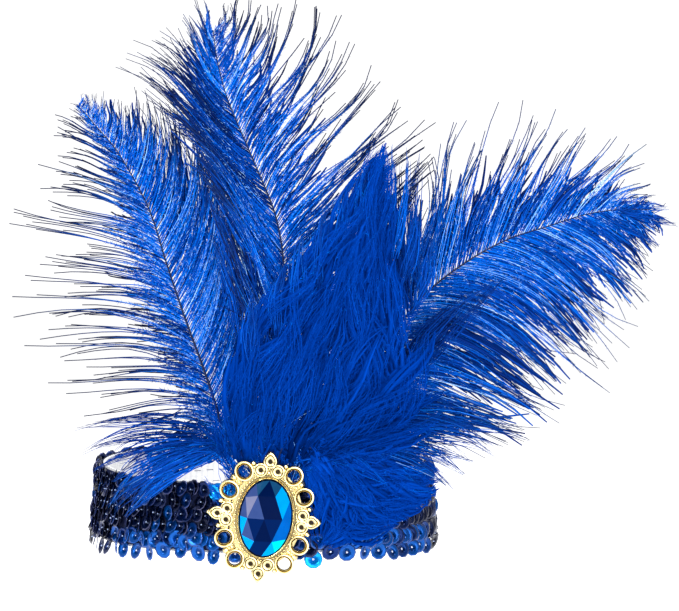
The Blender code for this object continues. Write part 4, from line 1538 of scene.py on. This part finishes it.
@dataclass
class SequinRows:
    """Six shingled rows of cup sequins on a dark net, each cup leaning its own way. Tones come with the
    share of each. The hem's pitch and unrest are shares of the others'. An odd one is named by its x and
    z, and has its own drop and tone; a tone of 1 paints it cyan as a painted highlight. The low rows get
    painted shade at each side, darker by a shade amount, from a sine on and over a range of it."""

    oval: HeadOval
    rows: int = 6
    row_cups: int = 150
    hem_cups: int = 67
    radius: float = 3.05 * MM
    hole: float = 0.32 * MM
    knot: float = 0.30 * MM
    cup: float = 0.22 * MM
    foil: float = 0.10 * MM
    sides: int = 10
    bottom: float = 4.1 * MM
    top: float = 3.2 * MM
    out: float = 1.75 * MM
    pitch: float = 12.0
    yaw: float = 17.0
    hem_yaw: float = 16.0
    hem_turn: float = 20.0
    hem_drop: Pair = (1.6 * MM, 1.2 * MM)
    unrest: float = 10.0
    hem_unrest: float = 1.3
    hem_pitch: float = 0.3
    net_foot: float = 4.6 * MM
    net_trim: float = 1.4 * MM
    net_inner: float = 0.3 * MM
    net_outer: float = 0.75 * MM
    net_levels: int = 4
    net_steps: int = 160
    low_from: float = 0.75
    low_size: float = 1.06
    low_tones: Rows = ((0.45, 0.74, 0.92), (0.16, 0.76, 0.08))
    high_tones: Rows = ((0.08, 0.25, 0.5, 0.75), (0.5, 0.3, 0.15, 0.05))
    painted_side_shades: Rows = ((-1.0, 0.5, 0.78, 0.12), (1.0, 0.6, 0.88, 0.06))
    # Odd sequins with tone 1 are painted highlights in cyan.
    odd: Rows = ((-9.8, 23.7, 0.0, 1.0), (-18.5, 25.4, 0.0, 1.0), (-16.2, 27.1, 0.0, 1.0),
                 (15.9, 0.0, 2.0, 1.0), (16.4, 8.0, 3.0, 0.1))
    angle_spread: float = 0.009
    height_spread: float = 0.5 * MM
    out_spread: float = 0.15 * MM
    tone_spread: float = 0.04
    rim_highlight_power: float = 2.2
    seed: int = 41

    def build(self, foil: Material, net: Material, thread: Material) -> None:
        """Make the net, the sequins and their knots."""
        self.build_net(net)
        cup_points, cup_faces, rim_highlights = self.cup_arrays()
        places, tones = self.arrange()
        # Painted highlight: how strongly each sequin's rim is painted pale, mostly faint.
        painted_light = np.random.default_rng(self.seed + 1).random(len(places)) ** self.rim_highlight_power
        joined = JoinedMesh(corners=4)
        joined.copies(places, cup_points, cup_faces, tone=np.repeat(tones, len(cup_points)),
                      rim=(painted_light[:, None] * rim_highlights).ravel())
        show(joined.mesh("cup_sequins"), foil, "sequin_facing")
        self.build_knots(places, thread)

    def build_net(self, net: Material) -> None:
        """Make the net, a thin dark strip round the elastic."""
        bm = bmesh.new()
        for vert, angle, outside in spin_wall(bm, self.net_levels, self.net_steps):
            out = self.net_outer if outside else self.net_inner
            z = self.oval.between(angle, self.net_foot, self.net_trim, vert.co.z)
            vert.co = Vector(self.oval.points(np.array(angle), out, z))
        bmesh.ops.recalc_face_normals(bm, faces=bm.faces)
        show(finish_mesh(bm, "sequin_net", 60.0), net, "sequin_facing")

    def cup_arrays(self) -> tuple[Array, Array, Array]:
        """One sequin, flat in the middle with a raised ring at its edge.

        Returns:
            Its points, its quads, and how much painted rim highlight each point takes.
        """
        bm = bmesh.new()
        profile = ((self.hole, 0.1 * self.cup), (0.66 * self.radius, 0.2 * self.cup),
                   (0.8 * self.radius, self.cup), (self.radius, 0.7 * self.cup + 0.5 * self.foil),
                   (0.8 * self.radius, 0.2 * self.cup - self.foil))
        # The mark on the outer rim corner is where the painted rim highlight goes.
        spin_profile(bm, profile, self.sides, (0.0, 0.0, 0.0, 0.8, 0.0))
        bm.verts.index_update()
        layer = bm.verts.layers.float["groove"]
        points = np.array([vert.co for vert in bm.verts])
        faces = np.array([[vert.index for vert in face.verts] for face in bm.faces])
        rim_highlights = np.array([vert[layer] for vert in bm.verts])
        bm.free()
        return points, faces, rim_highlights

    def build_knots(self, places: Array, thread: Material) -> None:
        """Make the thread knot in each sequin's hole.

        Args:
            places: the sequins' matrices.
            thread: its finish.
        """
        corners = np.array(((1, 0, 0), (0, 1, 0), (-1, 0, 0), (0, -1, 0), (0, 0, 1), (0, 0, -1)), float)
        faces = np.array([(k, (k + 1) % 4, 4) for k in range(4)] + [((k + 1) % 4, k, 5) for k in range(4)])
        knot = corners * self.knot + np.array((0.0, 0.0, 0.5 * self.cup))
        joined = JoinedMesh()
        joined.copies(places, knot, faces)
        show(joined.mesh("sequin_knots"), thread, "sequin_facing")

    def arrange(self) -> tuple[Array, Array]:
        """Place and tone of every sequin.

        Returns:
            A matrix for each sequin, whose third axis faces out, and its tone from 0 to 1.
        """
        rng = np.random.default_rng(self.seed)
        places, tones = [], []
        for row in range(self.rows):
            hem = row == self.rows - 1
            many = self.hem_cups if hem else self.row_cups
            angles = self.oval.even_angles(many, 0.5 * (row % 2)) + rng.normal(0.0, self.angle_spread, many)
            share = row / (self.rows - 1)
            is_low = share > self.low_from
            low = self.oval.lower(angles) + self.bottom
            high = self.oval.upper(angles) - self.top
            z = high + (low - high) * share + rng.normal(0.0, self.height_spread, many)
            hang = share ** 1.5 if is_low else 0.0
            z -= hang * (self.hem_drop[0] * np.sin(angles) ** 2
                         + self.hem_drop[1] * np.maximum(0.0, np.sin(angles)))
            out = self.out + rng.normal(0.0, self.out_spread, many)
            loose = self.unrest * (self.hem_unrest if hem else 1.0)
            pitch = self.pitch * (self.hem_pitch if hem else 1.0)
            nod = np.radians(pitch + rng.normal(0.0, loose, many))
            turn = self.hem_turn * hang * np.maximum(0.0, -np.sin(2.0 * angles)) ** 2
            yaw = np.radians((self.hem_yaw if hem else self.yaw) - turn + rng.normal(0.0, loose, many))
            places.append(self.stand(angles, self.oval.points(angles, out, z), nod, yaw))
            shades, odds = self.low_tones if is_low else self.high_tones
            tone = rng.choice(shades, many, p=odds)
            if is_low:
                places[-1][:, :3, :3] *= self.low_size
                # Painted shade: the low rows darken towards each side.
                for side, shade, begin, over in self.painted_side_shades:
                    tone -= shade * smoothstep((side * np.sin(angles) - begin) / over)
            tones.append(tone + rng.normal(0.0, self.tone_spread, many))
        places, tones = np.concatenate(places), np.clip(np.concatenate(tones), 0.0, 1.0)
        for x, z, drop, tone in self.odd:
            away = np.hypot(places[:, 0, 3] - x * MM, places[:, 2, 3] - z * MM)
            nearest = np.argmin(np.where(places[:, 1, 3] < 0.0, away, 1.0))
            tones[nearest] = tone
            places[nearest, 2, 3] -= drop * MM
        return places, tones

    def stand(self, angles: Array, centres: Array, nod: Array, yaw: Array) -> Array:
        """Matrices of sequins at their places.

        Args:
            angles: their angles round the oval.
            centres: their centres.
            nod: how far each one's lower edge stands out, in radians.
            yaw: how far each one's right edge stands out, in radians.

        Returns:
            The matrices.
        """
        facing = unit(np.stack((np.sin(angles) / self.oval.half_width,
                                -np.cos(angles) / self.oval.half_depth, 0.0 * angles), axis=-1))
        right = np.cross(np.array((0.0, 0.0, 1.0)), facing)
        up = np.cross(facing, right)
        normal = unit(facing + np.tan(nod)[:, None] * up - np.tan(yaw)[:, None] * right)
        first = unit(np.cross(up, normal))
        matrices = np.zeros((len(angles), 4, 4))
        matrices[:, :3, 0], matrices[:, :3, 1], matrices[:, :3, 2] = first, np.cross(normal, first), normal
        matrices[:, :3, 3] = centres
        return matrices


# Brooch and stone


@dataclass(frozen=True)
class BroochPlace:
    """Where the brooch sits: its centre's height, its tilt and its back. The stone's oval in it has its
    centre a little aside."""

    height: float = 17.0 * MM
    tilt: float = math.radians(-6.3)
    back: float = 86.6 * MM
    half_width: float = 8.6 * MM
    half_height: float = 12.8 * MM
    shift: float = 0.5 * MM

    def outside(self, angle: float, out: float) -> Pair:
        """A point of the brooch's plane, some way outside the stone's oval."""
        return (self.shift + (self.half_width + out) * math.cos(angle),
                (self.half_height + out) * math.sin(angle))

    def matrix(self) -> Matrix:
        """Matrix from the brooch's own plane, with its front along Z, to the world."""
        c, s = math.cos(self.tilt), math.sin(self.tilt)
        return Matrix(((c, -s, 0.0, 0.0), (0.0, 0.0, -1.0, -self.back), (s, c, 0.0, self.height),
                       (0.0, 0.0, 0.0, 1.0)))


def mirrored(points: Sequence[Pair]) -> list[Pair]:
    """The four mirror images of points that lie off both axes."""
    return [(su * u, sv * v) for u, v in points for su in (-1, 1) for sv in (-1, 1)]


@dataclass
class Brooch:
    """The cast gold brooch: ringed border, four leaf motifs, granulation and a raised bezel. The ground
    grains' ranges are in millimetres."""

    place: BroochPlace
    ring_centres: Pairs = ((8.3 * MM, 14.75 * MM), (12.5 * MM, 8.0 * MM))
    ring_hole: float = 2.05 * MM
    ring_outer: float = 3.45 * MM
    leaf_lobes: Pairs = ((2.9 * MM, 15.9 * MM), (12.8 * MM, 1.9 * MM))
    leaf_hole: float = 0.66 * MM
    lobe_radius: float = 2.45 * MM
    cap_radius: float = 2.35 * MM
    cap_point: float = 1.0 * MM
    leaf_caps: Pair = (15.9 * MM, 19.0 * MM)
    leaf_tips: Pair = (18.9 * MM, 21.9 * MM)
    edge_beads: Pairs = ((11.4 * MM, 12.3 * MM), (5.5 * MM, 17.9 * MM), (15.0 * MM, 4.2 * MM))
    pads: Rows = (
        (10.3 * MM, 11.2 * MM, 1.9 * MM), (5.4 * MM, 16.2 * MM, 1.2 * MM), (1.6 * MM, 16.9 * MM, 1.7 * MM),
        (13.0 * MM, 4.6 * MM, 1.35 * MM), (13.6 * MM, 1.2 * MM, 1.7 * MM), (2.2 * MM, 14.6 * MM, 1.7 * MM),
        (11.4 * MM, 12.3 * MM, 1.4 * MM))
    plate: float = 1.2 * MM
    rise: float = 0.9 * MM
    web_beads: Pairs = ((9.7 * MM, 11.0 * MM), (5.6 * MM, 15.4 * MM), (12.2 * MM, 4.4 * MM))
    leaf_beads: Pairs = ((1.35 * MM, 17.6 * MM), (14.5 * MM, 1.3 * MM))
    bezel_beads: int = 64
    bezel_out: float = 1.8 * MM
    ground_grains: int = 170
    ground_out: Pair = (2.3, 3.7)
    ground_radius: Pair = (0.28, 0.5)
    oval_steps: int = 96
    ring_steps: int = 32
    lobe_steps: int = 24
    pad_steps: int = 16
    seed: int = 7

    def build(self, gold: Material) -> None:
        """Make the whole casting as one piece."""
        bm = bmesh.new()
        bm.verts.layers.float.new("groove")
        self.add_ground(bm)
        for u, v, radius in self.pads:
            for su, sv in ((1, 1), (-1, 1), (1, -1), (-1, -1)):
                self.add_pad(bm, su * u, sv * v, radius)
        for u, v in mirrored(self.ring_centres):
            self.add_ring(bm, u, v)
        for u, v in mirrored(self.leaf_lobes):
            self.add_eyelet(bm, u, v, self.lobe_radius, 0.0, 0.0)
        for sign in (-1, 1):
            self.add_eyelet(bm, 0.0, sign * self.leaf_caps[1], self.cap_radius, self.cap_point,
                            sign * 0.5 * math.pi)
            self.add_eyelet(bm, sign * self.leaf_caps[0], 0.0, self.cap_radius, self.cap_point,
                            0.0 if sign > 0 else math.pi)
        self.add_grains(bm)
        self.add_bezel(bm)
        bmesh.ops.transform(bm, matrix=self.place.matrix(), verts=bm.verts)
        show(finish_mesh(bm, "gold_brooch", 50.0), gold, "brooch_setting")

    def to_oval(self, verts: list[BMVert]) -> None:
        """Bend a ring about the Z axis to the stone's oval: its radius becomes the distance outside."""
        for vert in verts:
            out = math.hypot(vert.co.x, vert.co.y) - 1.0
            vert.co.xy = self.place.outside(math.atan2(vert.co.y, vert.co.x), out)

    def add_ground(self, bm: BMesh) -> None:
        """Add the flat ground between the bezel and the rings, with a moulded edge."""
        top = self.plate
        profile = ((0.2, 0.0), (0.2, 1.3), (1.2, 1.3), (1.3, 0.9), (2.3, 0.95), (3.0, 1.05), (3.7, 0.95),
                   (3.8, 0.0))
        marks = (0.0, 0.9, 0.6, 0.9, 0.65, 0.5, 0.65, 0.9)
        points = [(1.0 + out * MM, height * top / 1.2) for out, height in profile]
        self.to_oval(spin_profile(bm, points, self.oval_steps, marks))

    def add_bezel(self, bm: BMesh) -> None:
        """Add the raised rim that holds the stone."""
        profile = ((1.15, 0.9), (1.0, 1.9), (0.85, 2.6), (0.6, 2.95), (0.35, 2.8), (0.2, 2.3), (0.15, 1.3))
        marks = (1.0, 0.6, 0.1, 0.0, 0.3, 1.0, 1.0)
        points = [(1.0 + out * MM, height * MM) for out, height in profile]
        self.to_oval(spin_profile(bm, points, self.oval_steps, marks))

    def add_pad(self, bm: BMesh, u: float, v: float, radius: float) -> None:
        """Add a round web of metal, between the rings and the leaves.

        Args:
            bm: takes the pad.
            u: its centre across.
            v: its centre up.
            radius: its radius.
        """
        top = self.plate
        profile = ((0.05 * MM, 0.0), (0.05 * MM, top + 0.15 * MM), (0.4 * radius, top + 0.1 * MM),
                   (0.85 * radius, top - 0.2 * MM), (radius, 0.5 * top), (radius, 0.0))
        web = spin_profile(bm, profile, self.pad_steps, (0.6, 0.5, 0.35, 0.5, 0.8, 0.8))
        bmesh.ops.translate(bm, vec=(u, v, 0.0), verts=web)

    def add_ring(self, bm: BMesh, u: float, v: float) -> None:
        """Add one open ring of the border: outer rim, groove and inner rim, a little egg-shaped.

        Args:
            bm: takes the ring.
            u: its centre across.
            v: its centre up.
        """
        inner, outer = self.ring_hole, self.ring_outer
        low, high = self.plate, self.plate + self.rise
        span = outer - inner
        profile = ((inner, 0.0), (inner, low), (inner + 0.06 * span, high - 0.25 * MM),
                   (inner + 0.17 * span, high - 0.1 * MM), (inner + 0.25 * span, high - 0.3 * MM),
                   (inner + 0.32 * span, low), (inner + 0.40 * span, high - 0.1 * MM),
                   (inner + 0.55 * span, high + 0.2 * MM), (inner + 0.84 * span, high + 0.15 * MM),
                   (inner + 0.95 * span, high - 0.3 * MM), (outer, low - 0.3 * MM), (outer, 0.0))
        marks = (0.8, 1.0, 0.4, 0.0, 0.5, 0.97, 0.2, 0.0, 0.0, 0.15, 1.0, 1.0)
        ring = spin_profile(bm, profile, self.ring_steps, marks)
        away = math.atan2(v, u)
        for vert in ring:
            angle = math.atan2(vert.co.y, vert.co.x) - away
            swell = 1.0 + 0.06 * math.cos(angle) + 0.03 * math.cos(2.0 * angle)
            vert.co.x *= swell
            vert.co.y *= swell
        bmesh.ops.translate(bm, vec=(u, v, 0.0), verts=ring)

    def add_eyelet(self, bm: BMesh, u: float, v: float, outer: float, point: float, heading: float) -> None:
        """Add one lobe of a leaf motif round its small drop hole.

        Args:
            bm: takes the lobe.
            u: its centre across.
            v: its centre up.
            outer: its radius.
            point: how far its tip is drawn out.
            heading: the way that the tip points.
        """
        inner, low, high = self.leaf_hole, self.plate, self.plate + self.rise
        floor = low + 0.2 * MM
        profile = ((0.05 * MM, 0.0), (0.05 * MM, floor), (inner, floor),
                   (inner + 0.04 * MM, high - 0.35 * MM), (inner + 0.12 * MM, high - 0.1 * MM),
                   (0.5 * outer, high), (0.62 * outer, high + 0.1 * MM),
                   (0.70 * outer, high - 0.25 * MM), (0.78 * outer, high + 0.1 * MM),
                   (0.92 * outer, high), (0.97 * outer, low), (outer + 0.1 * MM, 0.0))
        # The hole's floor and inner wall are fully marked, so they are painted near black as painted shade.
        marks = (1.0, 1.0, 1.0, 1.0, 0.7, 0.15, 0.0, 0.97, 0.0, 0.1, 1.0, 1.0)
        ring = spin_profile(bm, profile, self.lobe_steps, marks)
        for vert in ring:
            angle = math.atan2(vert.co.y, vert.co.x) - heading
            reach = math.hypot(vert.co.x, vert.co.y)
            drawn = point * max(0.0, math.cos(angle)) ** 5 * (reach / outer) ** 2
            vert.co.x += drawn * math.cos(heading)
            vert.co.y += drawn * math.sin(heading)
        bmesh.ops.translate(bm, vec=(u, v, 0.0), verts=ring)

    def add_grains(self, bm: BMesh) -> None:
        """Add the granulation: beads round the bezel, on the outline and between the rings."""
        grains = []
        for k in range(self.bezel_beads):
            spot = self.place.outside(FULL_TURN * k / self.bezel_beads, self.bezel_out)
            grains.append((*spot, 1.15 * MM, 0.46 * MM))
        for u, v in mirrored(self.edge_beads):
            grains.append((u, v, 1.0 * MM, 0.9 * MM))
            grains.append((0.93 * u, 0.93 * v, 1.5 * MM, 0.55 * MM))
        for u, v in mirrored(self.web_beads):
            grains.append((u, v, 1.2 * MM, 0.6 * MM))
        for u, v in mirrored(self.leaf_beads):
            grains.append((u, v, 1.3 * MM, 0.5 * MM))
        for sign in (-1, 1):
            grains.append((0.0, sign * 15.2 * MM, 1.4 * MM, 0.75 * MM))
            grains.append((sign * 11.6 * MM, 0.0, 1.4 * MM, 0.75 * MM))
            grains.append((0.0, sign * self.leaf_tips[1], 1.0 * MM, 0.6 * MM))
            grains.append((sign * self.leaf_tips[0], 0.0, 1.0 * MM, 0.6 * MM))
        rng = np.random.default_rng(self.seed)
        holes = mirrored(self.leaf_lobes) + mirrored(self.ring_centres)
        clear = [self.leaf_hole + 0.9 * MM] * 4 * len(self.leaf_lobes) + [self.ring_hole] * len(holes)
        for k in range(self.ground_grains):
            angle = FULL_TURN * (k + rng.random()) / self.ground_grains
            u, v = self.place.outside(angle, rng.uniform(*self.ground_out) * MM)
            radius = rng.uniform(*self.ground_radius) * MM
            if all(math.hypot(u - x, v - y) > away for (x, y), away in zip(holes, clear)):
                grains.append((u, v, 1.05 * MM, radius))
        layer = bm.verts.layers.float["groove"]
        for u, v, height, radius in grains:
            made = bmesh.ops.create_icosphere(bm, subdivisions=2 if radius > 0.55 * MM else 1, radius=radius,
                                              matrix=Matrix.Translation((u, v, height)))
            for vert in made["verts"]:
                # Painted shade: the lower half of each bead is marked darker.
                vert[layer] = 0.75 if vert.co.z < height else 0.0


class PaintedReflection(Enum):
    """Painted reflections: shades that the foil behind the stone would throw back, painted on the facets."""

    NIGHT = (0.0, 0.0035, 0.028)
    NAVY = (0.0, 0.008, 0.058)
    SEA = (0.005, 0.045, 0.11)
    SLATE = (0.03, 0.055, 0.17)
    MAUVE = (0.15, 0.16, 0.26)
    AZURE = (0.0, 0.095, 0.42)
    CYAN = (0.0, 0.28, 0.78)
    AQUA = (0.0, 0.62, 0.86)


@dataclass
class Stone:
    """The oval rose-cut stone: six main facets, six kites and twelve side facets. Shades run
    anticlockwise from the wearer's left, seen from the front, and each is a painted reflection."""

    place: BroochPlace
    corners: int = 24
    mains: int = 6
    seat: float = 1.6 * MM
    girdle: float = 1.4 * MM
    shoulder: float = 3.5 * MM
    crown: float = 4.7 * MM
    inner: float = 0.69
    foot: float = 0.97
    turn: float = math.radians(2.0)
    recentre: float = 0.6
    main: tuple[PaintedReflection, ...] = (PaintedReflection.NIGHT, PaintedReflection.NIGHT, PaintedReflection.SLATE, PaintedReflection.NAVY, PaintedReflection.NIGHT, PaintedReflection.NAVY)
    kites: tuple[PaintedReflection, ...] = (PaintedReflection.CYAN, PaintedReflection.NIGHT, PaintedReflection.MAUVE, PaintedReflection.SLATE, PaintedReflection.NAVY, PaintedReflection.AZURE)
    sides: tuple[PaintedReflection, ...] = (PaintedReflection.AZURE, PaintedReflection.CYAN, PaintedReflection.SEA, PaintedReflection.SEA, PaintedReflection.SLATE, PaintedReflection.SLATE,
                               PaintedReflection.CYAN, PaintedReflection.CYAN, PaintedReflection.NAVY, PaintedReflection.CYAN, PaintedReflection.AQUA, PaintedReflection.AZURE)

    def ring(self, bm: BMesh, scale: float, height: float, count: int, start: float = 0.0) -> list[BMVert]:
        """Corners of one level of the stone.

        Args:
            bm: takes the corners.
            scale: share of the full oval.
            height: height above the seat.
            count: how many corners.
            start: turn of the first one.

        Returns:
            The corners.
        """
        made = bmesh.ops.create_circle(bm, segments=count, radius=1.0)["verts"]
        for k, vert in enumerate(made):
            angle = FULL_TURN * k / count + start
            vert.co = (self.place.shift + scale * self.place.half_width * math.cos(angle),
                       scale * self.place.half_height * math.sin(angle), self.seat + height)
        return made

    def build(self, finish: Material) -> None:
        """Cut the stone and shade its facets."""
        bm = bmesh.new()
        back = self.ring(bm, self.foot, 0.0, self.corners)
        girdle = self.ring(bm, 1.0, self.girdle, self.corners)
        inner = self.ring(bm, self.inner, self.shoulder, self.mains, self.turn)
        for vert in inner:
            vert.co.x -= self.recentre * self.place.shift
        apex = bm.verts.new((0.0, 0.0, self.seat + self.crown))
        shades = {}
        bm.faces.new(reversed(back))
        for k in range(self.corners):
            after = (k + 1) % self.corners
            bm.faces.new((back[k], back[after], girdle[after], girdle[k]))
        wide = self.corners // self.mains
        for k in range(self.mains):
            after = (k + 1) % self.mains
            shades[bm.faces.new((apex, inner[k], inner[after]))] = self.main[k]
            shades[bm.faces.new((inner[after], inner[k], girdle[wide * k + wide // 2]))] = self.kites[k]
            for half, steps in ((0, (-2, -1)), (1, (0, 1))):
                for step in steps:
                    low, high = ((wide * k + step + ahead) % self.corners for ahead in (0, 1))
                    shade = self.sides[(2 * k + half - 1) % len(self.sides)]
                    shades[bm.faces.new((inner[k], girdle[low], girdle[high]))] = shade
        layer = bm.loops.layers.float_color.new("facet")
        for face in bm.faces:
            color = shades.get(face, PaintedReflection.NAVY).value
            for loop in face.loops:
                loop[layer] = (*color, 1.0)
        bmesh.ops.transform(bm, matrix=self.place.matrix(), verts=bm.verts)
        bmesh.ops.recalc_face_normals(bm, faces=bm.faces)
        mesh = bpy.data.meshes.new("rose_cut_stone")
        bm.to_mesh(mesh)
        bm.free()
        show(mesh, finish, "stone")


# Studio


@dataclass
class SoftLight:
    """A square studio light."""

    name: str
    place: Color
    size: float
    power: float

    def add(self, aim: Vector) -> None:
        """Hang the light, turned to a point."""
        data = bpy.data.lights.new(self.name, "AREA")
        data.shape = "SQUARE"
        data.size = self.size
        data.energy = self.power
        light = bpy.data.objects.new(self.name, data)
        light.location = self.place
        light.rotation_euler = (aim - Vector(self.place)).to_track_quat("-Z", "Y").to_euler()
        bpy.context.scene.collection.objects.link(light)


@dataclass
class Studio:
    """White studio with soft lights, and the camera at the photograph's place."""

    camera_place: Color = (0.0, -0.750, 0.103)
    look_down: float = math.radians(1.25)
    look_right: float = math.radians(2.2)
    sensor: float = 36.0
    focal_pixels: float = 1966.0
    frame_pixels: float = 679.0
    floor_height: float = -0.12
    floor_size: float = 30.0
    backdrop: float = 1.1
    ambient: float = 0.36
    sheen_light: float = 0.75
    aim: Color = (0.0, -0.08, 0.08)
    lights: tuple[SoftLight, ...] = (
        SoftLight("key", (-0.9, -1.4, 1.1), 0.9, 36.0),
        SoftLight("front", (0.5, -1.6, 0.4), 1.2, 14.0),
        SoftLight("top", (0.1, 0.5, 1.3), 1.0, 18.0))

    def set_camera(self) -> None:
        """Place the camera and make it the scene's."""
        data = bpy.data.cameras.new("photo_camera")
        data.sensor_width = self.sensor
        data.lens = self.focal_pixels / self.frame_pixels * self.sensor
        data.clip_end = 100.0
        camera = bpy.data.objects.new("photo_camera", data)
        camera.location = self.camera_place
        camera.rotation_euler = (0.5 * math.pi - self.look_down, 0.0, -self.look_right)
        bpy.context.scene.collection.objects.link(camera)
        bpy.context.scene.camera = camera

    def set_light(self) -> None:
        """Set the backdrop, floor and lights."""
        scene = bpy.context.scene
        world = bpy.data.worlds.new("studio")
        scene.world = world
        world.use_nodes = True
        nodes, links = world.node_tree.nodes, world.node_tree.links
        nodes["Background"].inputs["Color"].default_value = (*WHITE, 1.0)
        nodes["Background"].inputs["Strength"].default_value = self.backdrop
        shader = nodes.new("ShaderNodeBackground").outputs["Background"]
        shader.node.inputs["Strength"].default_value = self.ambient
        glossy = nodes.new("ShaderNodeBackground").outputs["Background"]
        glossy.node.inputs["Strength"].default_value = self.sheen_light
        rays = nodes.new("ShaderNodeLightPath")
        for ray, other in (("Is Glossy Ray", glossy), ("Is Camera Ray", nodes["Background"].outputs[0])):
            mix = nodes.new("ShaderNodeMixShader")
            for socket, source in zip(mix.inputs, (rays.outputs[ray], shader, other)):
                links.new(source, socket)
            shader = mix.outputs["Shader"]
        links.new(shader, nodes["World Output"].inputs["Surface"])
        scene.view_settings.view_transform = "Standard"
        for light in self.lights:
            light.add(Vector(self.aim))

    def set_floor(self, finish: Material) -> None:
        """Lay the floor, which isn't part of the headdress."""
        bm = bmesh.new()
        bmesh.ops.create_grid(bm, x_segments=1, y_segments=1, size=0.5 * self.floor_size,
                              matrix=Matrix.Translation((0.0, 0.0, self.floor_height)))
        mesh = bpy.data.meshes.new("studio_floor")
        bm.to_mesh(mesh)
        bm.free()
        mesh.materials.append(finish)
        floor = bpy.data.objects.new("studio_floor", mesh)
        bpy.context.scene.collection.objects.link(floor)


def main() -> None:
    """Dress the headdress."""
    logging.basicConfig(level=logging.INFO, format="%(message)s")
    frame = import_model()
    studio = Studio()
    studio.set_camera()
    studio.set_light()
    studio.set_floor(FloorFinish().material())
    plumage = PlumageFinish("plumage_barbs").material()
    down = PlumageFinish("marabou_down", royal=(0.001, 0.052, 0.40), lines=0.12, roughness=0.8,
                         specular=0.0, painted_light=0.28).material()
    horn = ShaftFinish().material()
    for plume in PLUMES:
        plume.build(plumage, horn)
    for tuft in TUFTS:
        tuft.build(down, horn)
    oval = HeadOval()
    ElasticBand(oval).build(ElasticFinish().material(), ThreadFinish().material())
    knot_thread = ThreadFinish("knot_thread", (0.55, 0.68, 0.95), (0.3, 0.42, 0.8)).material()
    SequinRows(oval).build(SequinFinish().material(), NetFinish().material(), knot_thread)
    place = BroochPlace()
    Brooch(place).build(GoldFinish().material())
    Stone(place).build(StoneFinish().material())
    felt = FeltFinish().material()
    pad = frame["nodes"]["mount_pad"]
    pad.data.materials.clear()
    pad.data.materials.append(felt)
    faces = sum(len(face.vertices) - 2 for item in bpy.context.scene.objects if item.type == "MESH"
                for face in item.data.polygons)
    LOG.info("triangles in all: %d", faces)
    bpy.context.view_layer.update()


if __name__ == "__main__":
    main()
